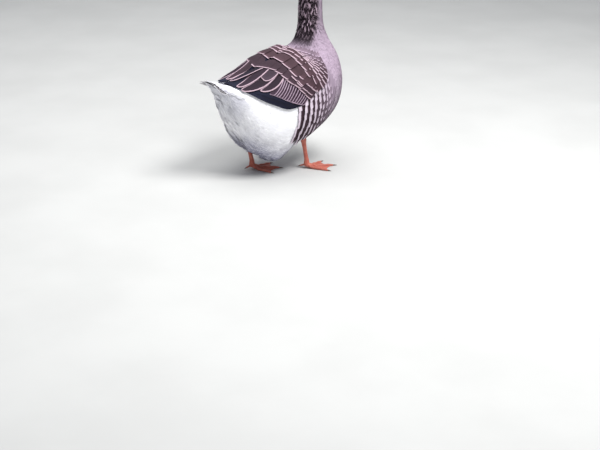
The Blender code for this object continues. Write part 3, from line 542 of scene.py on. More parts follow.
def point_value(mesh, name, values):
    mesh.attributes.new(name, "FLOAT", "POINT").data.foreach_set("value", np.asarray(values, np.float32))


def corner_map(mesh, name, values):
    corners = np.zeros(len(mesh.loops), np.int32)
    mesh.loops.foreach_get("vertex_index", corners)
    mesh.uv_layers.new(name=name).data.foreach_set("uv", values[corners].astype(np.float32).ravel())


def placed(name, data):
    obj = bpy.data.objects.new(name, data)
    bpy.context.scene.collection.objects.link(obj)
    return obj


def finish_piece(obj, slot, *nodes):
    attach(obj, "root")
    if nodes:
        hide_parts(*nodes)
    return obj


def coat(name, blocks, slot, *nodes):
    """One piece of the coat from blocks of vanes."""
    starts = np.cumsum([0] + [len(b["verts"]) for b in blocks])
    joined = {k: np.concatenate([b[k] for b in blocks]) for k in blocks[0] if k not in ("quads", "tris")}
    faces = [np.concatenate([b[k] + s for b, s in zip(blocks, starts)]) for k in ("quads", "tris")]
    mesh = mesh_from(name, joined["verts"], faces)
    for key in ("tint", "trim"):
        point_colour(mesh, key.capitalize(), joined[key])
    for key in ("rim", "wide", "quill"):
        point_value(mesh, key.capitalize(), joined[key])
    pairs = np.zeros(len(mesh.edges) * 2, np.int32)
    mesh.edges.foreach_get("vertices", pairs)
    crisp = joined["edge"][pairs.reshape(-1, 2)].all(axis=1)
    mesh.attributes.new("sharp_edge", "BOOLEAN", "EDGE").data.foreach_set("value", crisp)
    corner_map(mesh, "OFBake", joined["bake"])
    corner_map(mesh, "Vane", joined["vane"])
    mesh.materials.append(PLUMAGE)
    return finish_piece(placed(name, mesh), slot, *nodes)


def scattered(spacing, inside):
    """Places over the body, evenly apart by spacing(t, b), where inside(t, b) holds; seeded."""
    t_grid, a_grid = np.meshgrid(np.linspace(TAIL_END, HEAD_END, 151), np.linspace(0, 360, 73), indexing="ij")
    p = surface(t_grid, a_grid)
    area = np.linalg.norm(np.cross(p[1:, :-1] - p[:-1, :-1], p[:-1, 1:] - p[:-1, :-1]), axis=-1)
    t0, a0 = t_grid[:-1, :-1].ravel(), a_grid[:-1, :-1].ravel()
    t_mid, b_mid = t0 + 0.005, from_back(a0 + 2.5)
    want = area.ravel() / spacing(t_mid, b_mid) ** 2 * BODY_TRIES * (inside(t_mid, b_mid) > 0)
    cell = np.repeat(np.arange(len(t0)), rng.poisson(want))
    t = t0[cell] + rng.random(len(cell)) * 0.01
    a = a0[cell] + rng.random(len(cell)) * 5
    keep_in = inside(t, from_back(a)) > 0
    order = rng.permutation(int(keep_in.sum()))
    t, a = t[keep_in][order], a[keep_in][order]
    chosen = spaced(surface(t, a), spacing(t, from_back(a)))
    return t[chosen], a[chosen]


def spaced(places, gaps):
    """Numbers of the places that keep their gap from those taken before them."""
    cells = np.floor(places / float(gaps.max())).astype(int)
    taken, chosen = {}, []
    near = [(i, j, k) for i in (-1, 0, 1) for j in (-1, 0, 1) for k in (-1, 0, 1)]
    for n, ((i, j, k), (x, y, z), gap) in enumerate(zip(cells.tolist(), places.tolist(), gaps.tolist())):
        others = (p for di, dj, dk in near for p in taken.get((i + di, j + dj, k + dk), ()))
        if all((px - x) ** 2 + (py - y) ** 2 + (pz - z) ** 2 >= gap * gap for px, py, pz in others):
            taken.setdefault((i, j, k), []).append((x, y, z))
            chosen.append(n)
    return chosen


def swept(t, a, long, sway):
    """The tips of feathers of this length that lie back along the body, drifting round it by sway degrees."""
    step = 0.004
    along = np.linalg.norm(surface(t + step, a) - surface(t - step, a), axis=-1) / (2 * step)
    around = np.linalg.norm(surface(t, a + 1) - surface(t, a - 1), axis=-1) / 2
    turn = np.radians(sway)
    down = np.where((a + 90) % 360 > 180, 1.0, -1.0)
    dt = np.clip(long * np.cos(turn) / np.maximum(along, 0.06), 0, 0.13)
    return np.stack([t - dt, a + down * long * np.sin(turn) / np.maximum(around, 1e-4)], -1)


def varying(count):
    """Shares between 0.85 and 1.15 for feathers that aren't all alike."""
    return 0.85 + 0.3 * rng.random(count)


def small_coat(name, slot, spacing, inside, long, wide, lifts, rows, folds=None, hang=0.0, ruffle=0.0,
               varied=0.05, streak=None, tumble=3.0, thick=0.00015, tip=0.5, **form):
    """A piece of small feathers laid close over part of the body. Its lifts are the share of the coat's depth
    that roots lie above the surface, and heights of middles and tips; folds add to each of them."""
    t, a = scattered(spacing, inside)
    b = from_back(a)
    count = len(t)
    length = long(t, b) * varying(count)
    tips = swept(t, a, length, rng.normal(0, DRIFT, count))
    added = folds(t, a) if folds else (0, 0, 0)
    low, mid, high = lifts[0] * coat_depth(t) + added[0], lifts[1] + added[1], lifts[2] + added[2]
    if hang:
        high = high + hang * smooth(130, 165, b) * rng.random(count) ** 2
    high = high + ruffle * rng.random(count) ** 3
    lines, ups, shares = laid(np.stack([t, a], -1), tips, (low, mid, high), rows)
    tint, trim, edge = markings(tips[:, 0], tips[:, 1])
    vary = (1 - varied + 2 * varied * rng.random(count))[:, None]
    if streak:
        tint = blend(tint, trim, streak(t, a))
    block = vanes(lines, ups, shares, wide(t, b) * varying(count), (tint * vary, trim, edge),
                  bake_places(t, a), roll=rng.normal(0, tumble, count), thick=thick, tip=tip, **form)
    return coat(name, [block], slot)


# The wings: tracts of feathers from the deepest to the one on top, on the right side, as guide feathers from
# (place, angle) at the root to the tip, the number of feathers, width, lifts and looks.

def in_row(share, values):
    """Values given from the first feather of a row to its last, or one for all of them."""
    values = np.atleast_1d(values)
    return np.interp(share, np.linspace(0, 1, len(values)), values)


def tract(side, roots, tips, count, width, lifts, looks, rows=12, columns=7, wobble=1.0, bow=0.0, rise=0.0,
          roll=-6.0, rims=(1.0, 3.0), varied=0.09, rowed=False, **form):
    """Feathers of one tract, evenly apart along the line of their tips. The lower side of each one shows.
    Rims stretch the distance from the lower and the upper edge, which narrows the pale fringe there. Tips
    that are rowed are cut along the line that they make together."""
    roots, tips = np.array(roots, float), np.array(tips, float)
    steps = np.linalg.norm(np.diff(surface(tips[:, 0], tips[:, 1]), axis=0), axis=1)
    reached = np.concatenate([[0], np.cumsum(steps)]) / max(steps.sum(), 1e-9)
    share = np.linspace(0, 1, count)
    between = lambda ends: np.stack([np.interp(share, reached, ends[:, k]) for k in (0, 1)], -1)
    root, tip = between(roots), between(tips)
    tip = tip + rng.normal(0, 1, tip.shape) * np.array([0.004, 0.6]) * wobble
    tip[:, 1] = np.maximum(tip[:, 1], 91.5)
    bend = in_row(share, bow)
    levels = [np.full(count, v) for v in lifts]
    levels[2] = levels[2] + rng.normal(0, 0.0004, count) * wobble
    if side == "left":
        root[:, 1], tip[:, 1], bend, roll, rims = 180 - root[:, 1], 180 - tip[:, 1], -bend, -roll, rims[::-1]
        swell = rise * (1 - smooth(96, 135, 180 - root[:, 1]))
        levels = [levels[0] + swell * 0.6, levels[1] + swell, levels[2] + swell * 0.7 - 0.0008]
    lines, ups, shares = laid(root, tip, levels, rows, bend)
    widths = in_row(share, width) * (1 + 0.06 * wobble * rng.normal(0, 1, count))
    cut = 0.0
    if rowed:
        onward = unit(lines[:, -1] - lines[:, -4])
        row = np.gradient(lines[:, -1], axis=0)
        level = np.sum(row * np.cross(onward, ups[:, -1]), axis=-1)
        level = np.where(np.abs(level) < 1e-6, 1e-6, level)
        cut = np.clip(np.sum(row * onward, axis=-1) / level, -1.0, 1.0) * (1 + 0.07 * rng.normal(0, 1, count))
        near_back = 1 - smooth(96, 126, 90 + np.abs(tip[:, 1] - 90))  # flat there, and bent over the back
        roll, form = roll * (1 - near_back), dict(form, camber=form["camber"] + 0.09 * near_back)
    tint, trim, edge = looks
    vary = (1 + varied * np.clip(rng.normal(0, 1, count), -2, 2))[:, None]
    looks = (tint * vary, np.broadcast_to(trim, (count, 3)), in_row(share, edge))
    return vanes(lines, ups, shares, widths, looks, bake_places(root[:, 0], root[:, 1]), columns=columns,
                 roll=roll, rims=rims, cut=cut, **form)


BROAD = dict(tip=0.15, square=0.78, rims=(7.0, 12.0), rowed=True, camber=0.06)


def wing_tracts(side):
    """The tracts behind the mantle, each one arguments for tract()."""
    # On the right, the tertial along the back is painted near-black: painted shadow where the left wing's
    # edge overhangs it.
    tertial, inner = tone(44, 32, 43), tone(30, 24, 36) if side == "right" else COVERT
    flight, pin = dict(thick=0.0008, quill=0.5, wobble=0.3), dict(thick=0.0007, wobble=0.3)
    single = dict(thick=0.0008, quill=0.5, wobble=0, rims=(1.0, 6.0), tip=0.5)
    close, loose = dict(BROAD, quill=0.2, wobble=0.3), dict(BROAD, quill=0.3, wobble=0.4, rise=-0.002)
    return [
        # Primaries: their tips past the wing's end, then along its lower edge.
        ([(.20, 104), (.21, 112), (.22, 122), (.24, 134)],
         [(-.045, 97), (-.03, 104), (-.01, 114), (.02, 130)],
         5, 0.018, (.003, .0065, .006), (SLATE, SLATE, 0.5), dict(thick=0.0008, quill=0.8, rise=0.004)),
        ([(.50, 158), (.52, 163), (.54, 167)], [(.02, 131), (.07, 147), (.13, 157)],
         6, 0.024, (.002, .0052, .0048), (SLATE, SLATE_SHEEN, 0.9), dict(flight, bow=(15, 11, 9))),
        ([(.55, 162), (.58, 167), (.60, 171)], [(.19, 163), (.26, 170), (.34, 173.5)],
         6, 0.022, (.002, .0058, .0050), (SLATE, SLATE_SHEEN, 0.9), dict(flight, bow=(5, 3, 1))),
        ([(.56, 150), (.57, 156), (.59, 163)], [(.15, 153), (.24, 161), (.34, 166)],
         4, 0.030, (.002, .0056, .0050), (SLATE, SLATE, 0.5), dict(pin, bow=(3, 2, 1))),
        # Greater coverts: a comb of narrow pale-edged feathers.
        ([(.43, 127), (.455, 137), (.49, 147), (.53, 157), (.555, 164)],
         [(.275, 160.5), (.33, 163.5), (.38, 167.5), (.43, 172), (.475, 175.5)],
         13, 0.0175, (.003, .0080, .0070), (tone(54, 40, 52), tone(158, 137, 153), 2.4),
         dict(thick=0.0006, roll=-9.0, wobble=0.2, square=0.75, tip=0.10, rims=(1.0, 5.0), rowed=True,
              camber=0.08)),
        # Tertials, from the outermost to the one along the back.
        ([(.44, 126)], [(.205, 153)], 1, 0.028, (.004, .0086, .0080), (tertial, BROWN_TRIM, 4.0),
         dict(single, bow=3)),
        ([(.44, 118)], [(.075, 155)], 1, 0.038, (.004, .0090, .0078), (tertial, BROWN_TRIM, 4.0),
         dict(single, bow=-3)),
        ([(.42, 112)], [(.045, 141)], 1, 0.036, (.004, .0094, .0084), (tertial, BROWN_TRIM, 4.0),
         dict(single, bow=-11, rise=0.002)),
        ([(.43, 118)], [(.242, 130)], 1, 0.042, (.004, .0102, .0096), (tone(66, 53, 64), BROWN_TRIM, 3.0),
         dict(thick=0.0008, quill=0.3, wobble=0, tip=0.30, square=0.3, rims=(1.0, 3.0))),
        # On the right this tertial's dark colour is painted shadow under the left wing's edge.
        ([(.42, 114)], [(.035, 99)], 1, 0.034, (.004, .0108, .0094), (inner, BROWN_TRIM, 4.0),
         dict(single, thick=0.0009, bow=-8, rise=0.003)),
        # Coverts and scapulars: rows of broad feathers, their tips in long pale lines.
        ([(.42, 97), (.43, 107), (.455, 117), (.48, 128), (.50, 138), (.53, 149), (.56, 157), (.60, 166)],
         [(.285, 96), (.30, 108), (.345, 121), (.385, 135), (.41, 144), (.45, 152), (.48, 159), (.515, 168)],
         9, (0.048, 0.042, 0.036, 0.031), (.0058, .0090, .0096), (COVERT, BROWN_TRIM, 4.6), close),
        ([(.56, 136), (.58, 146), (.60, 153), (.63, 160)], [(.455, 143), (.475, 152), (.50, 158), (.53, 165)],
         4, 0.036, (.0060, .0088, .0103), (COVERT, BROWN_TRIM, 4.0), close),
        ([(.56, 97), (.56, 108), (.565, 118), (.575, 127), (.59, 136), (.60, 143)],
         [(.43, 97), (.43, 110), (.437, 121), (.447, 131), (.465, 139), (.48, 147)],
         5, 0.052, (.0066, .0090, .0104), (SCAPULAR, BROWN_TRIM, 4.2), loose),
        ([(.61, 138), (.63, 147), (.65, 154), (.67, 160)], [(.50, 143), (.52, 152), (.545, 158), (.57, 164)],
         4, 0.036, (.0060, .0088, .0103), (SCAPULAR, BROWN_TRIM, 4.0), close),
        ([(.64, 97), (.65, 107), (.66, 118), (.67, 130), (.67, 142)],
         [(.525, 97), (.53, 108), (.545, 120), (.56, 131), (.565, 143)],
         6, 0.045, (.0066, .0090, .0105), (SCAPULAR, BROWN_TRIM, 4.2), loose),
        ([(.68, 97), (.69, 110), (.70, 126), (.70, 142), (.69, 155), (.68, 165)],
         [(.575, 97), (.58, 112), (.60, 128), (.61, 141), (.60, 154), (.60, 166)],
         8, 0.036, (.0060, .0088, .0103), (SCAPULAR, BROWN_TRIM, 4.0), dict(loose, quill=0.2)),
    ]


def mantle_tracts():
    """Rows of broad feathers up to the shoulder, smaller, flatter and greyer towards the neck."""
    rows = [(.637, .036), (.668, .035), (.698, .034), (.727, .032), (.754, .029), (.779, .026), (.802, .023)]
    for k, (at, width) in enumerate(rows):
        share = k / (len(rows) - 1)
        low, high = 97 + 7 * share ** 2, 168 + 3 * math.sin(share * math.pi) - 8 * share ** 2
        middle, back = (low + high) / 2, .080 - .036 * share
        root = [(at + back, low), (at + back, middle), (at + back * 0.8, high)]
        tip = [(at - .006, low), (at, middle), (at + 0.006, high)]
        lifts = (.0052 - .0078 * share, .0084 - .0070 * share, .0104 - .0080 * share)
        dark, pale = blend(MANTLE, tone(118, 101, 114), share ** 3), blend(MANTLE_TRIM, LILAC, share ** 2)
        yield (root, tip, 8, width, lifts, (dark, pale, 5.4 - 1.2 * share),
               dict(BROAD, rows=9, columns=5, wobble=0.3, rise=-0.003))


def back_tracts():
    """A row of single feathers over both wings' meeting along the back."""
    form = dict(rows=9, wobble=0.3, roll=0.0, tip=0.2, square=0.6, rims=(6.0, 1.6), camber=0.17)
    for at in np.linspace(.52, .75, 9):
        share = smooth(.62, .76, at)
        lifts = (.0062 - .0078 * share, .0098 - .0070 * share, .0112 - .0080 * share)
        looks = (blend(SCAPULAR, LILAC * 0.6, share), blend(BROWN_TRIM, LILAC, share), 4.6)
        yield [(at + .075, 91.5)], [(at, 91.5)], 1, 0.036 - 0.010 * share, lifts, looks, form


def wing(side):
    """The feathers of one wing; the right wing's piece has the row along the back too."""
    tracts = [*wing_tracts(side), *mantle_tracts(), *(back_tracts() if side == "right" else ())]
    blocks = [tract(side, *row, **form) for *row, form in tracts]
    return coat("wing_feathers_" + side, blocks, "grey_plumage", "wing_" + side)


def flanks():
    """Barred feathers of the flanks, over the front of the folded wing's lower edge."""
    blocks = []
    # Each row: place along the body, angles of its upper and lower ends, width of the pale edge.
    rows = [(.448, 178, 209, 10.0), (.484, 174, 217, 10.5), (.520, 172, 223, 11.0), (.555, 169, 222, 11.5),
            (.589, 166, 218, 12.0), (.622, 163, 213, 12.0), (.654, 160, 208, 11.5), (.685, 156, 202, 11.0),
            (.714, 151, 196, 9.0)]
    for side in ("right", "left"):
        for k, (at, low, high, edge) in enumerate(rows):
            share = k / (len(rows) - 1)
            middle, lean = (low + high) / 2, .012 + .050 * share
            root = [(at + .12, low - 4), (at + .115, middle - 5), (at + .095, high - 7)]
            tip = [(at + lean, low), (at + lean / 4, middle), (at - .026, high)]
            lifts = (-.003, .0044 - .0036 * share, .0068 - .0050 * share if k else .0038)
            looks = (blend(FLANK, LILAC * 0.9, share ** 2.6), blend(FLANK_TRIM, LILAC, 0.85 * share),
                     (edge * (1.35 + 0.25 * share), edge, edge * 0.8))
            blocks.append(tract(side, root, tip, int(round((high - low) / 7.5)) + 1, 0.029, lifts, looks,
                                columns=5, tip=0.08, square=0.95, roll=-2.0, wobble=0.5, rowed=True,
                                rims=(40.0, 40.0), camber=0.04, varied=0.03))
    return coat("flank_feathers", blocks, "grey_plumage", "torso")


# The tail.

def fan_point(along, across, height):
    """A place on the tail's fan: share of its length and of its half spread, height over its middle."""
    turn, rise = np.radians(FAN_SPREAD * across), math.radians(FAN_RISE)
    forward = FAN_LONG * along * np.cos(turn)
    sideways = FAN_HALF_ROOT * across + FAN_LONG * along * np.sin(turn)
    low = height - FAN_DROOP * across ** 2 * (0.4 + 0.6 * along)
    base = np.array(FAN_ROOT) + np.array([SHIFT_X, 0, 0])
    back, up = np.array([-math.cos(rise), 0, math.sin(rise)]), np.array([math.sin(rise), 0, math.cos(rise)])
    return base + back * forward[..., None] + np.array([0, 1, 0]) * sideways[..., None] + up * low[..., None]


def tail():
    """Quills in a fan, white with a grey band, and the white coverts over and under them, those under greyed
    with painted shade.
    """
    blocks = []
    quills = dict(thick=0.0008, quill=0.35, camber=0.08)
    fluff = dict(thick=0.0003, quill=0.0, camber=0.05, frayed=0.15)
    # Each layer: feathers, share of the half spread, start, end, width, heights, fall to the sides, form.
    layers = [
        (17, 1.0, 0.02, 0.94, .022, (.003, .003, .003), .010, quills),
        (13, 0.95, -0.1, 0.78, .026, (.004, .0070, .0050), .010, fluff),
        (13, 0.85, -0.2, 0.52, .028, (.005, .0095, .0070), .010, fluff),
        (11, 0.70, -0.3, 0.26, .028, (.004, .0105, .0090), .010, fluff),
        (21, 1.00, 0.10, 0.84, .017, (-.020, -.012, -.003), -.004, fluff),
        (21, 0.97, 0.02, 0.72, .018, (-.030, -.020, -.0075), -.008, fluff),
        (19, 0.95, -0.08, 0.60, .018, (-.042, -.032, -.016), -.014, fluff),
        (19, 0.90, -0.25, 0.47, .018, (-.060, -.050, -.028), -.021, fluff),
        (17, 0.85, -0.40, 0.33, .018, (-.074, -.064, -.042), -.028, fluff),
    ]
    shares = stations(14)
    for count, reach, start, end, width, heights, fall, form in layers:
        across = np.linspace(-1, 1, count) * reach + rng.normal(0, 0.012, count)
        loose = 0.02 if form is quills else 0.05
        short = end * (1 - 0.08 * across ** 2) * (1 + np.clip(rng.normal(0, loose, count), -0.12, 0.05))
        along = start + (short[:, None] - start) * shares
        high = eased(*heights, shares) - fall * across[:, None] ** 2
        wide = np.broadcast_to(across[:, None], along.shape)
        lines = fan_point(along, wide, high)
        onward = fan_point(along + 0.01, wide, high) - lines
        sideways = fan_point(along, wide + 0.01, high) - lines
        # The coverts under the fan are greyed halfway: painted shade of the tail's underside.
        under = 0.5 if heights[0] < 0 else 0.0
        tint = blend(WHITE, WHITE_IN_SHADE, under) * (0.97 + 0.05 * rng.random((count, 1)))
        looks = (tint, np.broadcast_to(SNOW_TRIM, (count, 3)), 2.0)
        piece = vanes(lines, unit(np.cross(onward, sideways)), shares, np.full(count, width), looks,
                      bake_places(np.zeros(count), 90 + 60 * across), columns=7, tip=0.25, **form)
        if form is quills:
            share = piece["vane"][:, 1] / (1000 * FAN_LONG)
            band = smooth(0.50, 0.62, share) * (1 - smooth(0.84, 0.92, share))
            piece["tint"] = blend(piece["tint"], BAND, band * 0.75)
        blocks.append(piece)
    return coat("tail_feathers", blocks, "white_plumage", "tail")


# The skin: the body under the coat in one piece with the shanks and the webbed feet.

def coat_depth(t):
    """How deep the small feathers lie, along the body."""
    return np.interp(t, [-0.10, 0.0, 0.2, 0.7, 0.86, 1.1, 1.25, 1.36, 1.40],
                     [.0015, .0025, .0042, .0046, .0036, .0026, .0014, .0007, .0004])


# The fold between the vent and the thigh: places along the body and degrees from the back.
FOLD_T = np.linspace(0.07, 0.29, 16)
FOLD_B = np.interp(FOLD_T, [0.07, 0.13, 0.182, 0.23, 0.27, 0.29], [138, 146, 149, 160, 175, 180])
FOLD = surface(FOLD_T, 90 + FOLD_B)
THIGH = surface(0.31, 90 + 124)
FOLD_DEEP, FOLD_WIDE, THIGH_FULL, THIGH_REACH = 0.0055, 0.009, 0.0040, 0.050
WAVES_HIGH, LEDGE_HIGH = 0.0017, 0.0032


def billow(t, a):
    """Height of the loose white coat's folds: waves low on the paunch, the crease in front of the vent, the
    full thigh, and the ledge where the rump's feathers hang over those under the tail."""
    turn, b = np.radians(a), from_back(a)
    waves = np.sin(t * 46 + 2.4 * np.sin(turn * 5)) * np.sin(turn * 9 + t * 21)
    waves = waves + 0.6 * np.sin(t * 83 - turn * 11)
    folds = WAVES_HIGH * waves * smooth(100, 140, b) * smooth(0.06, 0.16, t) * (1 - smooth(0.42, 0.52, t))
    right = surface(t, 90 + b)
    off = np.linalg.norm(right[..., None, :] - FOLD, axis=-1).min(axis=-1)
    full = np.linalg.norm(right - THIGH, axis=-1)
    folds = folds - FOLD_DEEP * np.exp(-(off / FOLD_WIDE) ** 2)
    folds = folds + THIGH_FULL * np.exp(-(full / THIGH_REACH) ** 2)
    ledge = smooth(55, 88, b) * (1 - smooth(90, 95, b)) * (1 - smooth(0.09, 0.16, t))
    return folds + LEDGE_HIGH * ledge


def made_object(name, bm, *looks):
    """An object of this bmesh, which is freed, with these materials."""
    mesh = bpy.data.meshes.new(name)
    bm.to_mesh(mesh)
    bm.free()
    mesh.shade_smooth()
    for look in looks:
        mesh.materials.append(look)
    return placed(name, mesh)


def corners_of(bm):
    return np.array([v.co for v in bm.verts])


def moved(bm, spots):
    for v, spot in zip(bm.verts, spots):
        v.co = spot


def turned(bm, matrix):
    bmesh.ops.rotate(bm, cent=(0, 0, 0), matrix=matrix, verts=bm.verts)


def spots_of(mesh):
    """The places of a mesh's vertices."""
    spots = np.zeros(len(mesh.vertices) * 3)
    mesh.vertices.foreach_get("co", spots)
    return spots.reshape(-1, 3)


def body_skin():
    """The body sunk by the coat's depth, with the folded wings' cores standing on it."""
    bm = bmesh.new()
    bmesh.ops.create_grid(bm, x_segments=180, y_segments=96, size=0.5)
    places = corners_of(bm)
    t = TAIL_END + (HEAD_END - TAIL_END) * (places[:, 0] + 0.5)
    a = 360 * (places[:, 1] + 0.5)
    lift = billow(t, a) - coat_depth(t) + in_wing(t, a) * (wing_at(t)[..., 2] - 0.0012 + coat_depth(t))
    moved(bm, surface(t, a) + outward(t, a) * lift[:, None])
    bmesh.ops.remove_doubles(bm, verts=bm.verts, dist=1e-5)
    bmesh.ops.holes_fill(bm, edges=[e for e in bm.edges if e.is_boundary], sides=200)
    bmesh.ops.recalc_face_normals(bm, faces=bm.faces)
    return made_object("skin", bm, DOWN, LEG_SKIN)


def apply_modifiers(obj):
    graph = bpy.context.evaluated_depsgraph_get()
    result = bpy.data.meshes.new_from_object(obj.evaluated_get(graph))
    obj.modifiers.clear()
    obj.data = result


def evened(name, voxel, passes, *nodes):
    """These nodes in one fine smooth mesh, their solids' facets smoothed away."""
    bm = bmesh.new()
    for n in nodes:
        bm.from_mesh(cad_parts[n].data)
    bmesh.ops.remove_doubles(bm, verts=bm.verts, dist=1e-6)
    obj = made_object(name, bm)
    remesh = obj.modifiers.new("even", "REMESH")
    remesh.mode, remesh.voxel_size = "VOXEL", voxel
    soften = obj.modifiers.new("soften", "SMOOTH")
    soften.factor, soften.iterations = 0.5, passes
    apply_modifiers(obj)
    obj.data.shade_smooth()
    return obj


def heading(degrees):
    return np.array([math.cos(math.radians(degrees)), math.sin(math.radians(degrees)), 0.0])


def leg_skin(side):
    """The shank and foot as one fine skin, with plates across the toes and shank and creases in the webs."""
    obj = evened("leg_skin_" + side, 0.0010, 4, "leg_" + side, "foot_" + side)
    mesh = obj.data
    spots, normals = spots_of(mesh), np.array([v.normal for v in mesh.vertices])
    (x, y), turn = FEET[side]
    spread_out = -TOE_SPREAD if side == "right" else TOE_SPREAD
    flat = spots - np.array([x + SHIFT_X, y, 0.0])
    groove, webs = np.zeros(len(spots)), np.ones(len(spots))
    for toe in (-1, 0, 1):
        way = heading(turn + toe * spread_out)
        reach, off = flat @ way, np.abs(flat @ np.array([-way[1], way[0], 0.0]))
        near = (1 - smooth(*TOE_HALF, off)) * smooth(0.012, 0.020, reach)
        groove = np.maximum(groove, near * np.abs(np.sin(math.pi * reach / TOE_PLATE)) ** 10)
        webs = webs * (1 - near)
    low = 1 - smooth(0.012, 0.020, spots[:, 2])
    across = np.arctan2(flat[:, 1], flat[:, 0]) - math.radians(turn)
    crease = np.abs(np.sin(across * 26 + 1.5 * np.sin(np.hypot(flat[:, 0], flat[:, 1]) * 160))) ** 6
    front = smooth(0.024, 0.032, spots[:, 2]) * smooth(0.0, 0.7, normals @ heading(turn))
    plate = np.maximum(groove * low, np.abs(np.sin(math.pi * spots[:, 2] / SHANK_PLATE)) ** 10 * front)
    crease = crease * low * webs
    dents = plate * PLATE_DEEP + crease * CREASE_DEEP * (normals[:, 2] > 0.3)
    mesh.vertices.foreach_set("co", (spots - normals * dents[:, None]).ravel())
    mesh.update()
    point_value(mesh, "Plate", np.maximum(plate, crease * 0.35))
    mesh.shade_smooth()
    mesh.materials.append(DOWN)
    mesh.materials.append(LEG_SKIN)
    mesh.polygons.foreach_set("material_index", np.ones(len(mesh.polygons), np.int32))
    return obj


def claw(name):
    obj = evened(name + "_horn", 0.0004, 5, name)
    obj.data.materials.append(CLAW)
    return finish_piece(obj, "claw", name)


def dewlap():
    """The lobe of loose skin under the chin and throat, inside the coat by its depth."""
    bm = bmesh.new()
    bmesh.ops.create_icosphere(bm, subdivisions=5, radius=1.0)
    bmesh.ops.scale(bm, vec=[reach - DEWLAP_COAT for reach in DEWLAP_SIZE], verts=bm.verts)
    turned(bm, Matrix.Rotation(math.radians(-DEWLAP_SLOPE), 3, "Y"))
    bmesh.ops.translate(bm, vec=(DEWLAP_AT[0] + SHIFT_X, 0, DEWLAP_AT[2]), verts=bm.verts)
    return made_object("dewlap", bm, DOWN, LEG_SKIN)


def soften_dewlap(obj):
    """Smooths the crease where the dewlap meets the throat."""
    middle = Vector((DEWLAP_AT[0] + SHIFT_X, 0, DEWLAP_AT[2]))
    back = Matrix.Rotation(math.radians(DEWLAP_SLOPE), 3, "Y")
    bm = bmesh.new()
    bm.from_mesh(obj.data)
    near = []
    for v in bm.verts:
        flat = back @ (v.co - middle)
        reach = math.sqrt(sum((c / r) ** 2 for c, r in zip(flat, DEWLAP_SIZE)))
        if reach < 1.5 and v.co.z > NECK_FROM:
            near.append(v)
    for _ in range(10):
        bmesh.ops.smooth_vert(bm, verts=near, factor=0.5, use_axis_x=True, use_axis_y=True, use_axis_z=True)
    bm.to_mesh(obj.data)
    bm.free()


def union(base, *others):
    """Joins the others to the base as one closed shell, and removes them."""
    for other in others:
        joint = base.modifiers.new("join", "BOOLEAN")
        joint.operation, joint.solver, joint.object = "UNION", "MANIFOLD", other
        apply_modifiers(base)
        bpy.data.objects.remove(other, do_unlink=True)
    return base


def nearest(places, angles):
    """A function that gives, for any points, the closest of these places on the body's surface."""
    t, a = [grid.ravel() for grid in np.meshgrid(places, angles, indexing="ij")]
    tree = kdtree.KDTree(len(t))
    for i, p in enumerate(surface(t, a)):
        tree.insert(p, i)
    tree.balance()

    def find(points):
        found = np.array([tree.find(p)[1] for p in points])
        return t[found], a[found]

    return find


def skin():
    """The body with its dewlap, legs and feet in one mesh, coloured as the coat over it is."""
    whole = union(body_skin(), dewlap(), leg_skin("right"), leg_skin("left"))
    soften_dewlap(whole)
    find = nearest(np.linspace(TAIL_END, HEAD_END, 200), np.linspace(0, 357, 120))
    point_colour(whole.data, "Tint", markings(*find(spots_of(whole.data)))[0])
    whole.data.shade_smooth()
    return finish_piece(whole, "grey_plumage", "torso", "neck", "head", "tail", "leg_left", "leg_right",
                        "foot_left", "foot_right")


def seeded_on(mesh, find, eyes, inside, spacing):
    """Places on this mesh's neck and head, evenly apart by spacing(t, b), clear of the eyes; seeded."""
    mesh.calc_loop_triangles()
    corners = np.zeros(len(mesh.loop_triangles) * 3, np.int32)
    mesh.loop_triangles.foreach_get("vertices", corners)
    triangles = spots_of(mesh)[corners.reshape(-1, 3)]
    triangles = triangles[triangles[:, :, 2].mean(axis=1) > NECK_FROM + 0.02]
    t, a = find(triangles.mean(axis=1))
    keep = inside(t, from_back(a))
    triangles, t, b = triangles[keep], t[keep], from_back(a)[keep]
    one, two = triangles[:, 1] - triangles[:, 0], triangles[:, 2] - triangles[:, 0]
    area = np.linalg.norm(np.cross(one, two), axis=1) / 2
    pick = np.repeat(np.arange(len(t)), rng.poisson(area / spacing(t, b) ** 2 * HEAD_TRIES))
    rng.shuffle(pick)
    u, v = rng.random((2, len(pick), 1))
    u, v = np.where(u + v > 1, 1 - u, u), np.where(u + v > 1, 1 - v, v)
    spots = triangles[pick, 0] + one[pick] * u + two[pick] * v
    clear = np.ones(len(spots), bool)
    for middle in eyes:
        clear &= np.linalg.norm(spots - middle, axis=1) > ROOT_CLEAR
    spots, pick = spots[clear], pick[clear]
    return spots[spaced(spots, spacing(t[pick], b[pick]))]


def combed_lines(mesh, spots, back, turn, long, depth, rows):
    """Centre lines that run back over the mesh from these places, and the ways that are up along them."""
    bm = bmesh.new()
    bm.from_mesh(mesh)
    tree = bvhtree.BVHTree.FromBMesh(bm)
    bm.free()
    shares = stations(rows)
    lines, ups = np.zeros((len(spots), rows, 3)), np.zeros((len(spots), rows, 3))
    for n, spot in enumerate(spots):
        at, up, _, _ = tree.find_nearest(spot)
        way = Vector(back[n]) + up.cross(Vector(back[n])) * turn[n]
        for k in range(rows):
            if k:
                at, up, _, _ = tree.find_nearest(at + way * (long[n] * (shares[k] - shares[k - 1])))
            way = (way - up * way.dot(up)).normalized()
            lift = depth[n] * (1 - (1 - shares[k]) ** 2) * 0.95
            lines[n, k], ups[n, k] = at + up * lift, up
    return lines, ups


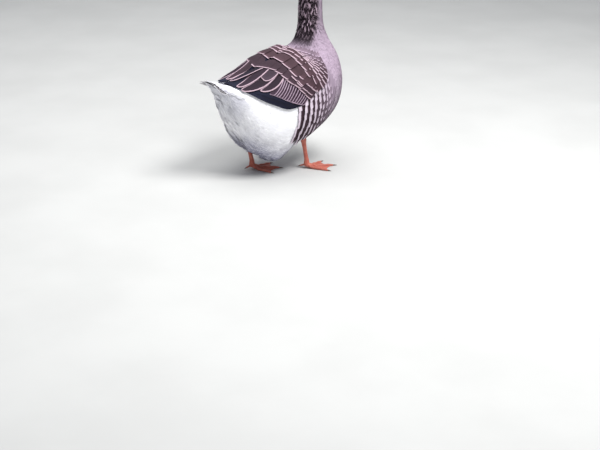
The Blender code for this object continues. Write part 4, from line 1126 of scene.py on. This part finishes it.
def combed(name, slot, base, inside, spacing, long, wide, rows, **form):
    """Small feathers combed back over the skin's own shape, its dewlap too, clear of the eyes."""
    find = nearest(np.linspace(0.95, HEAD_END, 240), np.linspace(0, 357.5, 144))
    eyes = [surface(EYE_PLACE[0], angle) for angle in (EYE_PLACE[1], 180 - EYE_PLACE[1])]
    spots = seeded_on(base.data, find, eyes, inside, spacing)
    t, a = find(spots)
    b = from_back(a)
    back = unit(surface(t - 0.004, a) - surface(t + 0.004, a))
    turn = rng.normal(0, 0.10, len(t))
    long = long(t, b) * varying(len(t))
    lines, ups = combed_lines(base.data, spots, back, turn, long, coat_depth(t), rows)
    kept = np.ones(len(t), bool)
    for middle in eyes:
        kept &= (np.linalg.norm(lines - middle, axis=2) > VANE_CLEAR).all(axis=1)
    lines, ups, t, a, b = lines[kept], ups[kept], t[kept], a[kept], b[kept]
    tint, trim, edge = markings(t, a)
    vary = (0.94 + 0.12 * rng.random(len(t)))[:, None]
    block = vanes(lines, ups, stations(rows), wide(t, b) * varying(len(t)), (tint * vary, trim, edge),
                  bake_places(t, a), roll=rng.normal(0, 2, len(t)), **form)
    return coat(name, [block], slot)


# The small feathers.

def graded(places, values):
    """A size that changes along the body."""
    return lambda t, b: np.interp(t, places, values)


def fixed(value):
    """A size that is the same all over."""
    return lambda t, b: value + 0 * t


def free_of_wing(t, b):
    return in_wing(t, 90 + b, 8.0) <= 0.5


def ridge(t, a):
    """The furrowed neck: 1 on its ridges and -1 between them, fading off its front and below it."""
    turn = np.radians(a)
    wave = np.sin(turn * 19 + 1.7 * np.sin(t * 210 + turn * 3) + 1.1 * np.sin(t * 90 - turn * 5))
    breaks = 0.45 + 0.55 * np.sin(t * 165 + turn * 7 + 2 * np.sin(turn * 4)) ** 2
    return wave * breaks * (1 - smooth(90, 116, from_back(a))) * smooth(0.85, 0.90, t)


def ridged(t, a):
    """What the neck's ridges add to the heights of roots, middles and tips."""
    return 0, 0.0017 * ridge(t, a), 0.0020 * ridge(t, a)


def pale_ridge(t, a):
    return smooth(0.47, 0.75, ridge(t, a) + 0.08 * rng.normal(0, 1, len(t)))


def billows(t, a):
    """What the loose coat's folds add to the heights of roots, middles and tips."""
    return [billow(t, a)] * 3


def head_coat(whole):
    places = [1.10, 1.25, 1.40]
    combed("coat_head", "grey_plumage", whole, lambda t, b: (t > 1.10) & (t < 1.397),
           graded(places, [.0024, .0018, .0013]), graded(places, [.0115, .0080, .0034]),
           graded(places, [.0030, .0024, .0016]), 5, camber=0.10, thick=0.00012, tip=0.6, frayed=0.2)


def neck_coat():
    places = [0.86, 0.95, 1.14]
    for name, low, high in (("coat_neck_low", 0.865, 1.0), ("coat_neck_high", 1.0, 1.135)):
        small_coat(name, "grey_plumage", graded(places, [.0042, .0034, .0029]),
                   lambda t, b: (t > low) & (t < high),
                   graded(places, [.020, .017, .0125]), graded(places, [.0046, .0031, .0024]),
                   (-1.0, -0.0002, 0.0001), 5, folds=ridged, streak=pale_ridge, camber=0.08, frayed=0.15)


def breast_coat():
    places = [0.60, 0.80, 0.90]
    small_coat("coat_breast", "grey_plumage", graded(places, [.0062, .0050, .0038]),
               lambda t, b: (t > 0.56) & (t < 0.90) & free_of_wing(t, b) & ((b > 78) | (t > 0.78)),
               graded(places, [.028, .025, .020]), graded(places, [.012, .0085, .0052]),
               (-0.6, 0.0004, 0.0003), 5, camber=0.08, frayed=0.15)


def white_coat():
    """Belly and rump, and the loose wisps that hang from the paunch."""
    for name, start, end in (("coat_belly_rear", 0.06, 0.33), ("coat_belly_front", 0.33, 0.62)):
        small_coat(name, "white_plumage", fixed(0.0047),
                   lambda t, b: (t > start) & (t <= end) & free_of_wing(t, b) & (b > 60),
                   fixed(0.030), fixed(0.0095), (-0.5, 0.0008, -0.0003), 6, folds=billows, camber=0.10,
                   frayed=0.1, varied=0.02, tumble=2.0)
    small_coat("coat_rump", "white_plumage", fixed(0.0048), lambda t, b: (t > -0.06) & (t < 0.09),
               graded([-0.06, 0.08], [.020, .028]), fixed(0.009), (-0.4, 0.0010, 0.0003), 5, folds=billows,
               camber=0.06, frayed=0.2, varied=0.04, tumble=2.5)
    small_coat("coat_wisps", "white_plumage", lambda t, b: np.where(b > 150, 0.0085, 0.0125),
               lambda t, b: (t > 0.08) & (t < 0.46) & (b > 112),
               lambda t, b: np.where(b > 150, 0.038, 0.032), fixed(0.0055), (-0.3, 0.0012, 0.0004), 7,
               folds=billows, hang=0.0075, ruffle=0.0035, camber=0.1, frayed=0.35, varied=0.10, tumble=9.0,
               thick=0.0002, tip=0.6)


# The eyes.

def eye_frame(side):
    """The middle of an eye and the way out of it."""
    t, angle = EYE_PLACE
    if side == "right":
        angle = 180 - angle
    out = outward(t, angle)
    return Vector(surface(t, angle) - out * (EYE_RADIUS - EYE_SHOWS)), Vector(out)


def eye(side):
    centre, out = eye_frame(side)
    bm = bmesh.new()
    bmesh.ops.create_uvsphere(bm, u_segments=40, v_segments=28, radius=EYE_RADIUS)
    turned(bm, out.to_track_quat("Z", "Y").to_matrix())
    bmesh.ops.translate(bm, vec=centre, verts=bm.verts)
    obj = made_object("eyeball_" + side, bm, EYE)
    off = [math.acos(max(-1, min(1, (v.co - centre).normalized().dot(out)))) for v in obj.data.vertices]
    point_value(obj.data, "Iris", np.array(off) / IRIS_REACH)
    return finish_piece(obj, "eye", "eye_" + side)


def eyelid(side):
    """A thin fleshy ring round the eye, drawn out to its two corners, with a wide edge down into the face."""
    centre, out = eye_frame(side)
    bm = bmesh.new()
    bmesh.ops.create_circle(bm, segments=14, radius=1.0)
    bmesh.ops.scale(bm, vec=(*LID_THICK, 1.0), verts=bm.verts)
    turned(bm, Matrix.Rotation(math.pi / 2, 3, "X"))
    turned(bm, Matrix.Rotation(math.radians(30), 3, "Y"))
    bmesh.ops.translate(bm, vec=(LID_REACH, 0, LID_RISE), verts=bm.verts)
    bmesh.ops.spin(bm, geom=bm.verts[:] + bm.edges[:], cent=(0, 0, 0), axis=(0, 0, 1), angle=2 * math.pi,
                   steps=56, use_merge=True)
    bmesh.ops.recalc_face_normals(bm, faces=bm.faces)
    onward = Vector((1, 0, -0.2))
    onward = (onward - out * onward.dot(out)).normalized()
    for v in bm.verts:
        corner = abs(v.co.x / math.hypot(v.co.x, v.co.y)) ** 8
        v.co.x *= 1 + 0.10 * corner
        v.co.y *= 0.93 if v.co.y > 0 else 0.90
        v.co.z -= 0.0008 * corner
    stand = Matrix((onward, out.cross(onward), out)).transposed().to_4x4()
    bmesh.ops.transform(bm, matrix=stand, verts=bm.verts)
    bmesh.ops.translate(bm, vec=centre, verts=bm.verts)
    return finish_piece(made_object("eyelid_" + side, bm, LID), "eye")


# The bill.

BILL_LONG, BILL_DROOP, MOUTH_GAP, NOSTRIL = 0.060, 0.0035, 0.0003, (0.0276, 0.0098, 0.0118)
NOSTRIL_SIZE, RIDGE_WIDE, RIDGE_HIGH, TOOTH, TOOTH_DEEP = (0.0050, 0.0019), 0.0035, 0.0005, 0.0015, 0.00035
NAIL_SIZE, NAIL_HIGH, NAIL_HOOK = (0.0080, 0.0062, (0.0056, 0.0042)), 0.0032, 0.0022
# Stations: share of the length, half width, height off the mouth line.
UPPER_BILL = np.array([
    (0.0, 0.0172, 0.0236), (0.12, 0.0165, 0.0222), (0.3, 0.0151, 0.0186), (0.5, 0.0138, 0.0148),
    (0.7, 0.0130, 0.0118), (0.88, 0.0116, 0.0096), (0.95, 0.0098, 0.0080), (0.985, 0.0070, 0.0060),
    (1.0, 0.0028, 0.0030),
])
LOWER_BILL = np.array([
    (0.0, 0.0158, 0.0150), (0.3, 0.0136, 0.0112), (0.65, 0.0114, 0.0080), (0.9, 0.0088, 0.0058),
    (0.97, 0.0066, 0.0044), (1.0, 0.0022, 0.0018),
])


def bill_places(along, across, high):
    """Places in the bill's own frame: along it from the face, across it, up from the mouth line."""
    x, z, lean = body_at(np.array(HEAD_END))[:3]
    lean = math.radians(lean)
    onward, up = np.array([math.cos(lean), 0, math.sin(lean)]), np.array([-math.sin(lean), 0, math.cos(lean)])
    root = np.array([x + SHIFT_X, 0, z]) - up * 0.004
    high = high - BILL_DROOP * (along / BILL_LONG) ** 2
    return root + onward * along[:, None] + np.array([0, 1, 0]) * across[:, None] + up * high[:, None]


def bill_half(name, table, sense, long):
    """One half of the bill: above the mouth line for a sense of 1, below it for -1."""
    bm = bmesh.new()
    bmesh.ops.create_grid(bm, x_segments=170, y_segments=88, size=0.5)
    flat = corners_of(bm)
    share, turn = (flat[:, 0] + 0.5) ** 0.9, 2 * math.pi * (flat[:, 1] + 0.5)
    half, tall = np.moveaxis(curve_of(table)(share), -1, 0)
    cos, sin = np.cos(turn), np.sin(turn)
    along, across = share * long, half * np.sign(cos) * np.abs(cos) ** 0.8
    high = np.where(sin > 0, tall * np.abs(sin) ** 0.9, 0.10 * tall * np.abs(sin))
    pit = np.zeros(len(share))
    if sense > 0:
        ridge_on = np.exp(-(across / RIDGE_WIDE) ** 2) * (sin > 0) * (1 - smooth(0.7, 0.9, share))
        high = high + RIDGE_HIGH * ridge_on
        off_x, off_z = along - NOSTRIL[0], high - NOSTRIL[2]
        off = np.hypot(off_x / NOSTRIL_SIZE[0], (off_z + 0.14 * off_x) / NOSTRIL_SIZE[1])
        pit = (1 - smooth(0.55, 1.05, off)) * (sin > 0)
        lip = np.exp(-((off - 1.22) / 0.2) ** 2) * (sin > 0)
        across = across + np.sign(across) * (0.0003 * lip - 0.0036 * pit)
        teeth = 0.5 + 0.5 * np.sin(2 * math.pi * along / TOOTH)
        edge = (np.abs(sin) < 0.16) * (along > 0.003) * (share < 0.86)
        high = MOUTH_GAP + high - 0.0002 - TOOTH_DEEP * teeth * edge
    else:
        high = -(MOUTH_GAP + high - 0.0002)
    moved(bm, bill_places(along, across, high))
    held, dark = [bm.verts.layers.float.new(key) for key in ("Along", "Pit")]
    for v, reach, deep in zip(bm.verts, share, pit):
        v[held], v[dark] = reach, deep
    bmesh.ops.remove_doubles(bm, verts=bm.verts, dist=1e-6)
    bmesh.ops.holes_fill(bm, edges=[e for e in bm.edges if e.is_boundary], sides=400)
    bmesh.ops.recalc_face_normals(bm, faces=bm.faces)
    return finish_piece(made_object(name + "_sheath", bm, BILL), "bill_horn", name)


def bill_nail():
    """The pale hard plate at the bill's tip, hooked a little over the lower half."""
    bm = bmesh.new()
    bmesh.ops.create_uvsphere(bm, u_segments=40, v_segments=28, radius=1.0)
    x, y, z = corners_of(bm).T
    along = 0.93 * BILL_LONG + x * NAIL_SIZE[0]
    across = y * NAIL_SIZE[1] * (1 - 0.22 * smooth(0.1, 1.0, x))
    high = NAIL_HIGH + z * np.where(z > 0, *NAIL_SIZE[2]) - NAIL_HOOK * smooth(0.1, 1.0, x)
    moved(bm, bill_places(along, across, high))
    return finish_piece(made_object("bill_nail", bm, NAIL), "bill_horn")


# The studio.

# Each lamp: its name, place, size and power; all are aimed at one point of the body.
LAMPS = [("key", (0.5, -1.7, 3.2), 1.6, 158), ("overhead", (-0.4, 0.4, 3.6), 3.0, 90),
         ("back", (0.2, 2.6, 2.8), 2.4, 24)]
LAMPS_AIM, SKY, SKY_STRENGTH = (0, 0, 0.3), (0.86, 0.91, 1.0, 1.0), 0.34
CAMERA_AT, CAMERA_LOOKS, LENS = (-2.264 + SHIFT_X, -3.233, 1.436), (0.542, 0.7456, -0.3878), 72.0


def aimed(name, data, place, way):
    """A lamp or camera at this place that looks this way."""
    obj = placed(name, data)
    obj.location = place
    obj.rotation_euler = Vector(way).to_track_quat("-Z", "Y").to_euler()
    return obj


def studio():
    bm = bmesh.new()
    bmesh.ops.create_grid(bm, x_segments=2, y_segments=2, size=30)
    made_object("floor", bm, FLOOR)
    for name, place, size, power in LAMPS:
        data = bpy.data.lights.new(name, "AREA")
        data.shape, data.size, data.energy = "DISK", size, power
        aimed(name, data, place, Vector(LAMPS_AIM) - Vector(place))
    world = bpy.data.worlds.new("studio")
    world.use_nodes = True
    sky = world.node_tree.nodes["Background"].inputs
    sky["Color"].default_value, sky["Strength"].default_value = SKY, SKY_STRENGTH
    scene = bpy.context.scene
    scene.world, scene.view_settings.view_transform = world, "Standard"
    data = bpy.data.cameras.new("camera")
    data.lens, data.sensor_width, data.clip_start, data.clip_end = LENS, 36.0, 0.05, 100.0
    scene.camera = aimed("camera", data, CAMERA_AT, CAMERA_LOOKS)


def dress():
    """Builds every piece."""
    studio()
    whole = skin()
    for side in ("left", "right"):
        wing(side)
        eye(side)
        eyelid(side)
    flanks()
    tail()
    head_coat(whole)
    neck_coat()
    breast_coat()
    white_coat()
    bill_half("bill_upper", UPPER_BILL, 1, BILL_LONG)
    bill_half("bill_lower", LOWER_BILL, -1, BILL_LONG * 0.93)
    bill_nail()
    for name in [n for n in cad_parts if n.startswith("claw")]:
        claw(name)


dress()
